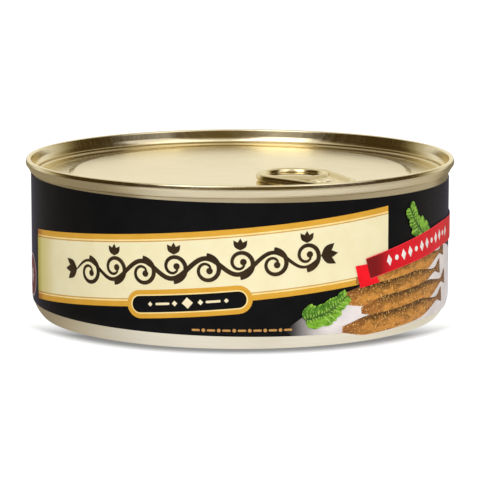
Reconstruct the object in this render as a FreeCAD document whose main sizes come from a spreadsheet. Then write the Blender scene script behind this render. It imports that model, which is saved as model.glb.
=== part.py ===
"""A shut, round, shallow tin of preserved fish with a ring-pull lid and a wrapped paper label.

Frame: origin at the middle of the base, +Z up through the lid, the label's front towards -Y.
All sizes are in millimetres. The tin is shut, so its body is solid up to the underside of the lid.

Nodes
    can_body   drawn body with its rounded corner, standing ring and recessed base panel
    lid        seam, chuck wall, scored rim, raised centre panel and rivet
    pull_tab   ring tab held by the rivet
    label      paper band, cut a little out of square, with its glued overlap at the back
"""
import FreeCAD, Part
import math
import os
import re

import Sketcher

# Driving dimensions. Depths are below the top of the seam, and heights are above the base.
SIZES = {
    # overall
    "tin_height": 37.7,
    "tin_diameter": 102.3,
    # seam: its crest is round, its outer face leans out to an upright belly, then in to a foot
    "seam_overhang": 1.35,
    "seam_depth": 2.9,
    "seam_round": 0.45,
    "shoulder_inset": 0.2,
    "belly_depth": 0.9,
    "belly_height": 0.45,
    "belly_round": 0.6,
    "seam_lean_depth": 2.6,
    "seam_foot_overhang": 0.45,
    # lid, from the seam inwards: chuck wall, rim with the score, step and raised centre panel
    "plate": 0.25,
    "chuck_lean": 0.85,
    "chuck_round": 2.6,
    "rim_depth": 3.8,
    "rim_width": 8.2,
    "score_inset": 3.8,
    "score_width": 0.3,
    "score_cut": 0.08,
    "step_run": 1.5,
    "step_round": 0.8,
    "panel_depth": 3.1,
    # body: edge of the wall inside the seam, rounded lower corner, standing ring and base
    "wall_edge": 0.2,
    "corner_rise": 2.9,
    "corner_inset": 2.4,
    "corner_round": 7.3,
    "floor_round": 1.2,
    "ring_width": 2.8,
    "ring_round": 0.8,
    "base_run": 1.2,
    "base_recess": 1.1,
    "base_round": 0.6,
    "bead_inset": 12.4,
    "bead_run": 1.0,
    "bead_recess": 0.5,
    # ring tab: it points outward from the lid's middle, at tab_angle from +X
    "tab_angle": -56.5,
    "tab_gap": 0.25,
    "tab_thickness": 1.5,
    "tab_length": 29.1,
    "tab_ring_radius": 9.4,
    "tab_nose_radius": 6.2,
    "tab_nose_inset": 1.9,
    "tab_edge_round": 0.65,
    "tab_rail": 2.3,
    "tab_bridge": 0.9,
    "finger_hole_round": 0.5,
    "well_radius": 3.6,
    "tab_web": 0.4,
    # rivet
    "rivet_setback": 9.9,
    "rivet_radius": 1.5,
    "rivet_clearance": 0.08,
    "rivet_lift": 0.05,
    "rivet_head_radius": 2.5,
    "rivet_head": 0.5,
    "rivet_head_round": 0.2,
    # label: a band of paper, with its ends glued over each other at the back
    "label_gap": 0.05,
    "label_thickness": 0.12,
    "label_low": 3.3,
    "bare_band": 1.1,
    "label_tilt": 0.69,
    "overlap_width": 9.0,
    "overlap_angle": 96.0,
}

# Radii and distances from the tin's axis that follow from the driving dimensions.
SEAM = "(tin_diameter / 2)"
WALL = f"({SEAM} - seam_overhang)"
SEAM_FOOT = f"({WALL} + seam_foot_overhang)"
SHOULDER = f"({SEAM} - shoulder_inset)"
CHUCK_TOP = f"({SHOULDER} - 2 * seam_round)"
RIM_OUTER = f"({CHUCK_TOP} - chuck_lean)"
SCORE = f"({RIM_OUTER} - score_inset)"
RIM_INNER = f"({RIM_OUTER} - rim_width)"
PANEL = f"({RIM_INNER} - step_run)"
FLOOR = f"({WALL} - corner_inset)"
RING_INNER = f"({FLOOR} - ring_width)"
BASE = f"({RING_INNER} - base_run)"
BEAD = f"({BASE} - bead_inset)"
NOSE_TIP = f"({SCORE} - tab_nose_inset)"
TAB_NOSE = f"({NOSE_TIP} - tab_nose_radius)"
RING_END = f"({NOSE_TIP} - tab_length)"
TAB_RING = f"({RING_END} + tab_ring_radius)"
RIVET = f"({NOSE_TIP} - rivet_setback)"
HOLE_START = f"({RING_END} + tab_rail)"
HOLE_END = f"({RIVET} - well_radius - tab_bridge)"
HOLE_MIDDLE = f"(({HOLE_START} + {HOLE_END}) / 2)"
HOLE_RADIUS = f"(({HOLE_END} - {HOLE_START}) / 2)"

# Heights that several pieces share.
PANEL_TOP = "(tin_height - panel_depth)"
RIM_TOP = "(tin_height - rim_depth)"
TAB_LOW = f"({PANEL_TOP} + tab_gap)"
TAB_TOP = f"({TAB_LOW} + tab_thickness)"
HEAD_LOW = f"({TAB_LOW} + tab_web + rivet_lift)"

TOLERANCE = 1e-3
SHEET = "Sizes"

# How a sketch numbers the points of an edge.
START, END, CENTRE = 1, 2, 3


def make_sheet(doc):
    """Write every driving dimension into a spreadsheet cell that carries its alias."""
    sheet = doc.addObject("Spreadsheet::Sheet", SHEET)
    for row, (alias, value) in enumerate(SIZES.items(), start=1):
        sheet.set(f"A{row}", alias)
        sheet.set(f"B{row}", str(value))
        sheet.setAlias(f"B{row}", alias)
    doc.recompute()
    return sheet


def cells(formula):
    """Turn the aliases of a formula into references to the sheet's cells."""
    return re.sub(r"[a-z_]+", lambda w: f"{SHEET}.{w[0]}" if w[0] in SIZES else w[0], formula)


def number(doc, formula):
    """Value of a formula of aliases, as a plain number."""
    result = doc.getObject(SHEET).evalExpression(cells(formula))
    return float(getattr(result, "Value", result))


def bind(target, path, formula):
    """Bind a property of an object to a formula of aliases."""
    target.setExpression(path, cells(formula))


def origin_plane(body, role):
    """One of a body's own origin planes, such as XZ_Plane."""
    return next(f for f in body.Origin.OriginFeatures if f.Role == role)


def new_sketch(body, name, role="XZ_Plane"):
    """Empty sketch on one of the body's origin planes."""
    sketch = body.newObject("Sketcher::SketchObject", name)
    sketch.AttachmentSupport = [(origin_plane(body, role), "")]
    sketch.MapMode = "FlatFace"
    return sketch


def dimension(sketch, kind, formula, *places):
    """Add a dimension between places of a sketch, its size bound to a formula."""
    value = number(sketch.Document, formula)
    index = sketch.addConstraint(Sketcher.Constraint(kind, *places, value))
    bind(sketch, f"Constraints[{index}]", formula)


def pin_point(sketch, edge, position, across, up):
    """Fix a point of a sketch edge, such as its start, at two formulas from the sketch's origin."""
    for kind, axis, formula in (("DistanceX", -2, across), ("DistanceY", -1, up)):
        if formula == "0":
            sketch.addConstraint(Sketcher.Constraint("PointOnObject", edge, position, axis))
        else:
            dimension(sketch, kind, formula, -1, 1, edge, position)


def outline(sketch, corners):
    """Draw a closed run of straight edges through corners given as pairs of formulas."""
    doc = sketch.Document
    points = [FreeCAD.Vector(number(doc, a), number(doc, b), 0) for a, b in corners]
    count = len(points)
    for index, point in enumerate(points):
        sketch.addGeometry(Part.LineSegment(point, points[(index + 1) % count]), False)
    for index in range(count):
        following = (index + 1) % count
        sketch.addConstraint(Sketcher.Constraint("Coincident", index, END, following, START))
    for index, (across, up) in enumerate(corners):
        pin_point(sketch, index, START, across, up)


def turn_profile(body, sketch, name, angle="360", kind="PartDesign::Revolution"):
    """Turn a sketch about the tin's axis by a formula, in degrees."""
    feature = body.newObject(kind, name)
    feature.Profile = sketch
    feature.ReferenceAxis = (sketch, ["V_Axis"])
    bind(feature, "Angle", angle)
    body.Document.recompute()
    return feature


def revolve(body, name, corners, kind="PartDesign::Revolution"):
    """Turn a closed run of straight edges, given by its corners, right round the tin's axis."""
    sketch = new_sketch(body, f"{name}_profile")
    outline(sketch, corners)
    return turn_profile(body, sketch, name, kind=kind)


def circle_edges(shape, rings):
    """Names of a shape's level circular edges at the given pairs of radius and height."""
    names = []
    for index, edge in enumerate(shape.Edges, start=1):
        if not isinstance(edge.Curve, Part.Circle):
            continue
        circle = edge.Curve
        for radius, height in rings:
            if abs(circle.Radius - radius) < TOLERANCE and abs(circle.Center.z - height) < TOLERANCE:
                names.append(f"Edge{index}")
    return names


def round_rings(body, base, name, rings, size):
    """Fillet the circular edges of a feature that lie at the given (radius, height) formulas."""
    doc = body.Document
    values = [(number(doc, radius), number(doc, height)) for radius, height in rings]
    names = circle_edges(base.Shape, values)
    if len(names) != len(rings):
        raise ValueError(f"{name}: found {len(names)} edges for {len(rings)} rings")
    return add_fillet(body, base, name, names, size)


def add_fillet(body, base, name, names, size):
    """Fillet the named edges of a feature, with a radius bound to a formula."""
    fillet = body.newObject("PartDesign::Fillet", name)
    fillet.Base = (base, names)
    bind(fillet, "Radius", size)
    body.Document.recompute()
    return fillet


def extrude(body, sketch, name, length, kind="PartDesign::Pad"):
    """Pad or pocket a sketch along its normal by a formula."""
    feature = body.newObject(kind, name)
    feature.Profile = sketch
    bind(feature, "Length", length)
    body.Document.recompute()
    return feature


def disc_sketch(body, name, radius, height, across="0", up="0"):
    """Sketch of one circle at a height above the base, its middle offset by two formulas."""
    sketch = new_sketch(body, name, "XY_Plane")
    bind(sketch, "AttachmentOffset.Base.z", height)
    if across != "0":
        bind(sketch, "AttachmentOffset.Base.x", across)
    if up != "0":
        bind(sketch, "AttachmentOffset.Base.y", up)
    size = number(body.Document, radius)
    sketch.addGeometry(Part.Circle(FreeCAD.Vector(), FreeCAD.Vector(0, 0, 1), size), False)
    pin_point(sketch, 0, CENTRE, "0", "0")
    dimension(sketch, "Radius", radius, 0)
    return sketch


def new_body(doc, name):
    """PartDesign body whose label names the node."""
    body = doc.addObject("PartDesign::Body", name)
    body.Label = name
    return body


def lid_underside():
    """Corners of the face between the lid and the body, from the axis out to the seam's foot."""
    return [
        ("0", f"{PANEL_TOP} - plate"),
        (PANEL, f"{PANEL_TOP} - plate"),
        (RIM_INNER, f"{RIM_TOP} - plate"),
        (f"{RIM_OUTER} + plate", f"{RIM_TOP} - plate"),
        (f"{WALL} - wall_edge", "tin_height - seam_depth"),
        (WALL, "tin_height - seam_depth"),
    ]


def make_can_body(doc):
    """Drawn body, solid up to the lid, with a rounded corner and a recessed base."""
    body = new_body(doc, "can_body")
    bead_top = "base_recess + bead_recess"
    bead_end = f"{BEAD} - bead_run"
    base = [
        (WALL, "corner_rise"),
        (FLOOR, "0"),
        (RING_INNER, "0"),
        (BASE, "base_recess"),
        (BEAD, "base_recess"),
        (bead_end, bead_top),
        ("0", bead_top),
    ]
    solid = revolve(body, "can_solid", lid_underside() + base)
    solid = round_rings(body, solid, "corner_fillet", [(WALL, "corner_rise")], "corner_round")
    solid = round_rings(body, solid, "floor_fillet", [(FLOOR, "0")], "floor_round")
    solid = round_rings(body, solid, "ring_fillet", [(RING_INNER, "0")], "ring_round")
    panel = [(BASE, "base_recess"), (BEAD, "base_recess"), (bead_end, bead_top)]
    round_rings(body, solid, "base_fillet", panel, "base_round")
    return body


def make_lid(doc):
    """Easy-open end: rolled seam, chuck wall, scored rim, raised panel and rivet."""
    body = new_body(doc, "lid")
    belly = "tin_height - belly_depth"
    belly_low = f"{belly} - belly_height"
    top = [
        (SEAM_FOOT, "tin_height - seam_depth"),
        (SEAM_FOOT, "tin_height - seam_lean_depth"),
        (SEAM, belly_low),
        (SEAM, belly),
        (SHOULDER, "tin_height"),
        (CHUCK_TOP, "tin_height"),
        (RIM_OUTER, RIM_TOP),
        (RIM_INNER, RIM_TOP),
        (PANEL, PANEL_TOP),
        ("0", PANEL_TOP),
    ]
    solid = revolve(body, "lid_solid", lid_underside() + top)
    crest = [(SHOULDER, "tin_height"), (CHUCK_TOP, "tin_height")]
    solid = round_rings(body, solid, "crest_fillet", crest, "seam_round")
    bends = [(SEAM, belly), (SEAM, belly_low)]
    solid = round_rings(body, solid, "belly_fillet", bends, "belly_round")
    solid = round_rings(body, solid, "chuck_fillet", [(RIM_OUTER, RIM_TOP)], "chuck_round")
    step = [(RIM_INNER, RIM_TOP), (PANEL, PANEL_TOP)]
    round_rings(body, solid, "step_fillet", step, "step_round")
    add_score(body)
    add_rivet(body)
    return body


def add_score(body):
    """Cut the shallow V along which the lid tears open."""
    whole = body.Tip.Shape.Volume
    corners = [
        (f"{SCORE} - score_width / 2", RIM_TOP),
        (SCORE, f"{RIM_TOP} - score_cut"),
        (f"{SCORE} + score_width / 2", RIM_TOP),
        (SCORE, f"{RIM_TOP} + score_cut"),
    ]
    groove = revolve(body, "score", corners, kind="PartDesign::Groove")
    if groove.Shape.Volume >= whole:
        raise ValueError("the score cuts nothing")


def add_rivet(body):
    """Raise the rivet out of the panel: a shank through the tab and a flat head on its web."""
    place = (f"{RIVET} * cos(tab_angle)", f"{RIVET} * sin(tab_angle)")
    root = f"({PANEL_TOP} - plate / 2)"
    circle = disc_sketch(body, "shank_circle", "rivet_radius", root, *place)
    extrude(body, circle, "shank", f"{HEAD_LOW} - {root}")
    circle = disc_sketch(body, "head_circle", "rivet_head_radius", HEAD_LOW, *place)
    head = extrude(body, circle, "head", "rivet_head")
    crown = [("rivet_head_radius", f"{HEAD_LOW} + rivet_head")]
    round_rings(body, head, "head_fillet", crown, "rivet_head_round")


def tab_outline(sketch):
    """Draw the tab's plan: a large ring end and a smaller nose, joined by two tangent sides."""
    doc = sketch.Document
    ring_x, ring_r = number(doc, TAB_RING), number(doc, "tab_ring_radius")
    nose_x, nose_r = number(doc, TAB_NOSE), number(doc, "tab_nose_radius")
    lean = math.acos((ring_r - nose_r) / (nose_x - ring_x))
    up = FreeCAD.Vector(0, 0, 1)
    ring = Part.Circle(FreeCAD.Vector(ring_x, 0, 0), up, ring_r)
    nose = Part.Circle(FreeCAD.Vector(nose_x, 0, 0), up, nose_r)
    ring_arc = Part.ArcOfCircle(ring, lean, 2 * math.pi - lean)
    nose_arc = Part.ArcOfCircle(nose, -lean, lean)
    left_side = Part.LineSegment(nose_arc.EndPoint, ring_arc.StartPoint)
    right_side = Part.LineSegment(ring_arc.EndPoint, nose_arc.StartPoint)
    for geometry in (ring_arc, nose_arc, left_side, right_side):
        sketch.addGeometry(geometry, False)
    for first, following in ((1, 2), (2, 0), (0, 3), (3, 1)):
        sketch.addConstraint(Sketcher.Constraint("Tangent", first, END, following, START))
    for arc, centre, radius in ((0, TAB_RING, "tab_ring_radius"), (1, TAB_NOSE, "tab_nose_radius")):
        pin_point(sketch, arc, CENTRE, centre, "0")
        dimension(sketch, "Radius", radius, arc)


def make_pull_tab(doc):
    """Ring tab with rolled edges, a finger hole and a well that holds the rivet's head."""
    body = new_body(doc, "pull_tab")
    sketch = new_sketch(body, "tab_plan", "XY_Plane")
    bind(sketch, "AttachmentOffset.Base.z", TAB_LOW)
    tab_outline(sketch)
    tab = extrude(body, sketch, "tab_plate", "tab_thickness")
    edges = enumerate(tab.Shape.Edges, start=1)
    rims = [f"Edge{index}" for index, edge in edges if edge.BoundBox.ZLength < TOLERANCE]
    add_fillet(body, tab, "tab_rolled_edge", rims, "tab_edge_round")
    hole = disc_sketch(body, "hole_circle", HOLE_RADIUS, TAB_TOP, HOLE_MIDDLE)
    hole = extrude(body, hole, "finger_hole", "tab_thickness", kind="PartDesign::Pocket")
    rims = [(HOLE_RADIUS, TAB_LOW), (HOLE_RADIUS, TAB_TOP)]
    round_rings(body, hole, "finger_hole_edge", rims, "finger_hole_round")
    well = disc_sketch(body, "well_circle", "well_radius", TAB_TOP, RIVET)
    extrude(body, well, "well", "tab_thickness - tab_web", kind="PartDesign::Pocket")
    bore = disc_sketch(body, "bore_circle", "rivet_radius + rivet_clearance", TAB_TOP, RIVET)
    extrude(body, bore, "bore", "tab_thickness", kind="PartDesign::Pocket")
    turn_about_z(body, "tab_angle")
    return body


def turn_about_z(item, angle):
    """Turn an object about the tin's axis by a formula, in degrees."""
    item.Placement = FreeCAD.Placement(FreeCAD.Vector(), FreeCAD.Vector(0, 0, 1), 0)
    bind(item, "Placement.Rotation.Angle", angle)
    item.Document.recompute()


def paper_profile(sketch, inside, outside):
    """Draw a layer of paper between two offsets from the body: straight, then round its corner."""
    doc = sketch.Document
    lean = "atan(corner_inset / corner_rise)"
    middle = (f"{WALL} - corner_round", f"corner_rise + corner_round * tan({lean} / 2)")
    centre = FreeCAD.Vector(number(doc, middle[0]), number(doc, middle[1]), 0)
    sweep = math.radians(number(doc, lean))
    top = FreeCAD.Vector(0, number(doc, "tin_height"), 0)
    arcs = []
    for offset in (inside, outside):
        circle = Part.Circle(centre, FreeCAD.Vector(0, 0, 1), number(doc, f"corner_round + {offset}"))
        arcs.append(Part.ArcOfCircle(circle, -sweep, 0))
    tops = [FreeCAD.Vector(arc.EndPoint.x, top.y, 0) for arc in arcs]
    walls = [Part.LineSegment(arc.EndPoint, point) for arc, point in zip(arcs, tops)]
    ends = [Part.LineSegment(arcs[0].StartPoint, arcs[1].StartPoint), Part.LineSegment(*tops)]
    for geometry in (*arcs, *walls, *ends):
        sketch.addGeometry(geometry, False)
    for arc, wall, offset in ((0, 2, inside), (1, 3, outside)):
        size = f"corner_round + {offset}"
        dimension(sketch, "Radius", size, arc)
        pin_point(sketch, arc, CENTRE, *middle)
        sketch.addConstraint(Sketcher.Constraint("Tangent", arc, END, wall, START))
        low = f"{middle[1]} - ({size}) * sin({lean})"
        dimension(sketch, "DistanceY", low, -1, 1, arc, START)
    joints = ((0, START, 4, START), (1, START, 4, END), (2, END, 5, START), (3, END, 5, END))
    for joint in joints:
        sketch.addConstraint(Sketcher.Constraint("Coincident", *joint))
    sketch.addConstraint(Sketcher.Constraint("Horizontal", 5))
    dimension(sketch, "DistanceY", "tin_height", -1, 1, 5, START)


def paper_layer(doc, name, inside, outside, angle="360"):
    """Body that wraps a layer of paper round the tin, or round a part of it."""
    body = new_body(doc, name)
    sketch = new_sketch(body, f"{name}_profile")
    paper_profile(sketch, inside, outside)
    turn_profile(body, sketch, f"{name}_layer", angle)
    return body


def make_label(doc):
    """Paper band round the wall. It was wrapped a little out of square, so its edges tilt."""
    outside = "label_gap + label_thickness"
    band = paper_layer(doc, "band", "label_gap", outside)
    turn = f"overlap_width / {WALL} * 180 / pi"
    flap = paper_layer(doc, "flap", outside, f"{outside} + label_thickness", turn)
    turn_about_z(flap, "overlap_angle")
    paper = doc.addObject("Part::MultiFuse", "paper")
    paper.Shapes = [band, flap]

    gauge = doc.addObject("Part::Box", "label_gauge")
    gauge.Placement = FreeCAD.Placement(FreeCAD.Vector(), FreeCAD.Vector(0, 1, 0), 0)
    bind(gauge, "Placement.Rotation.Angle", "label_tilt")
    bind(gauge, "Length", "tin_diameter * 2")
    bind(gauge, "Width", "tin_diameter * 2")
    bind(gauge, "Height", "tin_height - seam_depth - bare_band - label_low")
    bind(gauge, "Placement.Base.x", "-tin_diameter * cos(label_tilt)")
    bind(gauge, "Placement.Base.y", "-tin_diameter")
    bind(gauge, "Placement.Base.z", "label_low + tin_diameter * sin(label_tilt)")

    label = doc.addObject("Part::Common", "label")
    label.Label = "label"
    label.Base = paper
    label.Tool = gauge
    return label


def check_document(doc):
    """Stop if any object failed to compute."""
    for item in doc.Objects:
        if any(state in item.State for state in ("Invalid", "Error")):
            raise ValueError(f"{item.Name} is {item.State}")


def write_nodes(nodes):
    """Write one STEP file for each node, after testing its shape."""
    os.makedirs("parts", exist_ok=True)
    for node in nodes:
        shape = node.Shape
        if shape.isNull() or not shape.isValid() or len(shape.Solids) != 1:
            raise ValueError(f"{node.Label} isn't one valid solid")
        shape.exportStep(f"parts/{node.Label}.step")
        box = shape.optimalBoundingBox()
        print(
            f"{node.Label}: {shape.Volume:.1f} mm3, x {box.XMin:.2f} to {box.XMax:.2f},"
            f" y {box.YMin:.2f} to {box.YMax:.2f}, z {box.ZMin:.2f} to {box.ZMax:.2f}"
        )


def main():
    """Build the tin and write its nodes."""
    doc = FreeCAD.newDocument("fish_tin")
    make_sheet(doc)
    nodes = [make_can_body(doc), make_lid(doc), make_pull_tab(doc), make_label(doc)]
    doc.recompute()
    check_document(doc)
    write_nodes(nodes)


main()
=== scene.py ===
"""A shut, round tin of sprats: a gold ring-pull lid and a printed paper band round a drawn body.

The metal shells are half profiles turned about the tin's axis. The paper and its print are drawn
flat, as if the label were unrolled, and then wrapped round the wall and under its lower corner.
Lengths are metres, and sizes written in millimetres are multiplied by MM. Only the print's own
sizes are plain millimetres on the unrolled paper.
"""

import logging
import math
import random
from dataclasses import dataclass, field
from enum import Enum
from functools import reduce
from typing import Callable, Iterable, Optional, Union

import bmesh
import bpy
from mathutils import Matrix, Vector


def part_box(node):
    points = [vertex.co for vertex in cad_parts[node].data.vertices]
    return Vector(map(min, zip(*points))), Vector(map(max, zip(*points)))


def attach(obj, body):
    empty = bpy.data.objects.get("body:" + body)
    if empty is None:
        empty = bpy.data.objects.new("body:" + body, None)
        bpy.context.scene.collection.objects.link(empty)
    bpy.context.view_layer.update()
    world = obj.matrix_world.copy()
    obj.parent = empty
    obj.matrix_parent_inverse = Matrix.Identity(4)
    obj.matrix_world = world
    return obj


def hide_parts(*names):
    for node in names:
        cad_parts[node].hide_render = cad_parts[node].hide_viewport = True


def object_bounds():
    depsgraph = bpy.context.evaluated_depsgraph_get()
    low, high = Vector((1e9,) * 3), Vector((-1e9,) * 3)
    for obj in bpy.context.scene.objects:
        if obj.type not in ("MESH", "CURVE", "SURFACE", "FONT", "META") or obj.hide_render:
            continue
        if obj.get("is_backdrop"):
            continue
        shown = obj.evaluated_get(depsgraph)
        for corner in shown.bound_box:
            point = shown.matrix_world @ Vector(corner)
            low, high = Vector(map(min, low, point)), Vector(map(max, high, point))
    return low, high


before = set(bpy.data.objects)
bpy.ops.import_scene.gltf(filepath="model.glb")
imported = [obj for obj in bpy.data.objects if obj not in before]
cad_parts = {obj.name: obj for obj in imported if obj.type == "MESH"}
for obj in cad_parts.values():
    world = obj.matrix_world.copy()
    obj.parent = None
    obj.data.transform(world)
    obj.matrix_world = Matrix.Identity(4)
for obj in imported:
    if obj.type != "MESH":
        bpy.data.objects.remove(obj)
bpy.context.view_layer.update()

MM = 0.001
BODY = "root"
PRINT_MAP = "print"
BLADE_MAP = "blade"
MAP_UNIT = 100.0  # millimetres of paper to a unit of the print map
WELD = 0.0001 * MM

log = logging.getLogger("tin")

Socket = bpy.types.NodeSocket
Value = Union[Socket, float, int, tuple]
Colour = tuple[float, float, float]
Tint = Union[Socket, Colour]
Point = tuple[float, float]


class Node(Enum):
    """Names of the solids that the finished pieces stand for."""

    CAN = "can_body"
    LID = "lid"
    TAB = "pull_tab"
    LABEL = "label"


class Slot(Enum):
    """Names of the record's material slots."""

    TINPLATE = "tinplate"
    LID = "lid_metal"
    TAB = "tab_metal"
    PAPER = "printed_paper"


# --------------------------------------------------------------------------- node trees


class Nodes:
    """Adds nodes to one tree and joins their sockets in the same call."""

    def __init__(self, tree: bpy.types.NodeTree) -> None:
        """Keep the tree to add to."""
        self.tree = tree

    def add(self, kind: str, sockets: Optional[dict] = None, **settings: object) -> bpy.types.Node:
        """Add a node.

        Args:
            kind: The node's class name.
            sockets: Values or source sockets for its inputs, by name or number.
            **settings: Attributes of the node itself.

        Returns:
            The new node.
        """
        node = self.tree.nodes.new(kind)
        for name, setting in settings.items():
            setattr(node, name, setting)
        self.fill(node, sockets or {})
        return node

    def get(
        self,
        kind: str,
        sockets: Optional[dict] = None,
        result: Union[int, str] = 0,
        **settings: object,
    ) -> Socket:
        """Add a node, as add does, and give its output of the name or number in result."""
        return self.add(kind, sockets, **settings).outputs[result]

    def fill(self, node: bpy.types.Node, sockets: dict) -> None:
        """Link a source socket to each input named, or set the input's own value."""
        for key, value in sockets.items():
            socket = node.inputs[key]
            if isinstance(value, bpy.types.NodeSocket):
                self.tree.links.new(value, socket)
            else:
                socket.default_value = (*value, 1.0) if socket.type == "RGBA" else value

    def math(self, operation: str, first: Value, second: Value = 0.0, third: Value = 0.0) -> Socket:
        """Result of one Math node with up to three operands."""
        return self.get("ShaderNodeMath", {0: first, 1: second, 2: third}, operation=operation)

    def times(self, *factors: Value) -> Socket:
        """Product of two or more numbers."""
        return reduce(lambda first, second: self.math("MULTIPLY", first, second), factors)

    def plus(self, first: Value, second: Value) -> Socket:
        """Sum of two numbers."""
        return self.math("ADD", first, second)

    def minus(self, first: Value, second: Value) -> Socket:
        """Difference of two numbers."""
        return self.math("SUBTRACT", first, second)

    def over(self, first: Value, second: Value) -> Socket:
        """Quotient of two numbers."""
        return self.math("DIVIDE", first, second)

    def greater(self, first: Value, second: Value) -> Socket:
        """The greater one of two numbers."""
        return self.math("MAXIMUM", first, second)

    def ramp(
        self, value: Value, low: float, high: float, start: float = 0.0, end: float = 1.0
    ) -> Socket:
        """Map a value smoothly, so that it gives start at low and end at high.

        Args:
            value: The value to map.
            low: Value up to which the result is start.
            high: Value from which the result is end.
            start: First result.
            end: Last result.

        Returns:
            The socket that holds the result.
        """
        sockets = {"Value": value, "From Min": low, "From Max": high}
        sockets |= {"To Min": start, "To Max": end}
        return self.get("ShaderNodeMapRange", sockets, "Result", interpolation_type="SMOOTHSTEP")

    def mix(self, share: Value, first: Tint, second: Tint) -> Socket:
        """Mix two colours; share is how much there is of the second one."""
        sockets = {"Factor": share, 6: first, 7: second}
        return self.get("ShaderNodeMix", sockets, 2, data_type="RGBA")

    def noise(
        self, vector: Socket, scale: float, detail: float = 2.0, stretch: tuple = (1, 1, 1)
    ) -> Socket:
        """Noise in space.

        Args:
            vector: The coordinates that the noise is read at.
            scale: Waves to a unit of the coordinates.
            detail: Octaves of finer noise.
            stretch: How much finer the noise is along each axis.

        Returns:
            The socket that holds the noise, from 0 to 1 and about 0.5.
        """
        turned = self.get("ShaderNodeMapping", {"Vector": vector, "Scale": stretch}, "Vector")
        sockets = {"Vector": turned, "Scale": scale, "Detail": detail, "Roughness": 0.55}
        return self.get("ShaderNodeTexNoise", sockets, "Fac")

    def axes(self, vector: Socket) -> tuple[Socket, Socket, Socket]:
        """Split a vector into its three numbers."""
        parts = self.add("ShaderNodeSeparateXYZ", {0: vector}).outputs
        return parts[0], parts[1], parts[2]

    def join(self, across: Value, along: Value, up: Value) -> Socket:
        """Make a vector of three numbers."""
        return self.get("ShaderNodeCombineXYZ", {0: across, 1: along, 2: up})


class ShapeRule:
    """A Geometry Nodes tree with named inputs that turns a drawing into a finished mesh."""

    crisp = math.radians(35)

    def __init__(self, name: str) -> None:
        """Start the tree with its way in and out."""
        self.tree = bpy.data.node_groups.new(name, "GeometryNodeTree")
        self.nodes = Nodes(self.tree)
        kind = "NodeSocketGeometry"
        for side in ("INPUT", "OUTPUT"):
            self.tree.interface.new_socket("Geometry", in_out=side, socket_type=kind)
        self.entry = self.nodes.add("NodeGroupInput")
        self.drawing = self.entry.outputs["Geometry"]

    def size(self, name: str, kind: str = "Float") -> Socket:
        """Add a named input to the tree.

        Args:
            name: Name of the input.
            kind: Its socket type: Float, Int, Vector, Bool or Material.

        Returns:
            The socket that the input's value comes from.
        """
        self.tree.interface.new_socket(name, in_out="INPUT", socket_type=f"NodeSocket{kind}")
        return self.entry.outputs[name]

    def end(self, geometry: Socket) -> "ShapeRule":
        """End the tree with realized instances, smooth faces, crisp edges and the finish.

        Args:
            geometry: The geometry to hand over.

        Returns:
            The rule itself.
        """
        nodes = self.nodes
        whole = nodes.get("GeometryNodeRealizeInstances", {0: geometry})
        angle = nodes.get("GeometryNodeInputMeshEdgeAngle", result="Unsigned Angle")
        keen = nodes.get("FunctionNodeCompare", {0: angle, 1: self.crisp}, operation="GREATER_THAN")
        smooth = nodes.get("GeometryNodeSetShadeSmooth", {0: whole, "Shade Smooth": True})
        sockets = {0: smooth, "Selection": keen, "Shade Smooth": False}
        edged = nodes.get("GeometryNodeSetShadeSmooth", sockets, domain="EDGE")
        finish = self.size("Finish", "Material")
        dressed = nodes.get("GeometryNodeSetMaterial", {0: edged, "Material": finish})
        nodes.add("NodeGroupOutput", {0: dressed})
        return self

    def make(self, name: str, drawing: bpy.types.Mesh, **values: object) -> bpy.types.Object:
        """Run the rule on a drawing.

        Args:
            name: Name of the finished piece.
            drawing: The mesh that the rule starts from.
            **values: The tree's inputs, by name, with _ for a space.

        Returns:
            An object that holds the result as a plain mesh, with no modifier.
        """
        piece = bpy.data.objects.new(name, drawing)
        bpy.context.scene.collection.objects.link(piece)
        modifier = piece.modifiers.new(self.tree.name, "NODES")
        modifier.node_group = self.tree
        for item in self.tree.interface.items_tree:
            key = item.name.replace(" ", "_")
            if item.in_out == "INPUT" and key in values:
                modifier[item.identifier] = values[key]
        graph = bpy.context.evaluated_depsgraph_get()
        mesh = bpy.data.meshes.new_from_object(piece.evaluated_get(graph), depsgraph=graph)
        mesh.name = name
        piece.modifiers.remove(modifier)
        piece.data = mesh
        return piece


def turned_rule() -> ShapeRule:
    """Rule that turns a half profile (x from the axis, z up) into a closed shell.

    Returns:
        The rule, with the inputs Segments and Centre.
    """
    rule = ShapeRule("Turned shell")
    nodes = rule.nodes
    segments, centre = rule.size("Segments", "Int"), rule.size("Centre", "Vector")
    drawn = {0: rule.drawing}
    count = nodes.get("GeometryNodeAttributeDomainSize", drawn, "Point Count", component="MESH")
    sides = {"Vertices X": nodes.plus(segments, 1.0), "Vertices Y": count}
    grid = nodes.get("GeometryNodeMeshGrid", sides, "Mesh")
    index = nodes.get("GeometryNodeInputIndex")
    column = nodes.math("FLOOR", nodes.over(index, count))
    spot = nodes.math("MODULO", index, count)
    position = nodes.get("GeometryNodeInputPosition")
    sampled = {"Geometry": rule.drawing, "Value": position, "Index": spot}
    sample = nodes.get("GeometryNodeSampleIndex", sampled, data_type="FLOAT_VECTOR")
    radius, _, height = nodes.axes(sample)
    turn = nodes.over(nodes.times(column, -math.tau), segments)
    across = nodes.times(radius, nodes.math("COSINE", turn))
    along = nodes.times(radius, nodes.math("SINE", turn))
    place = nodes.get("ShaderNodeVectorMath", {0: nodes.join(across, along, height), 1: centre})
    shell = nodes.get("GeometryNodeSetPosition", {0: grid, "Position": place})
    return rule.end(nodes.get("GeometryNodeMergeByDistance", {0: shell, "Distance": 0.001 * MM}))


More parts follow.
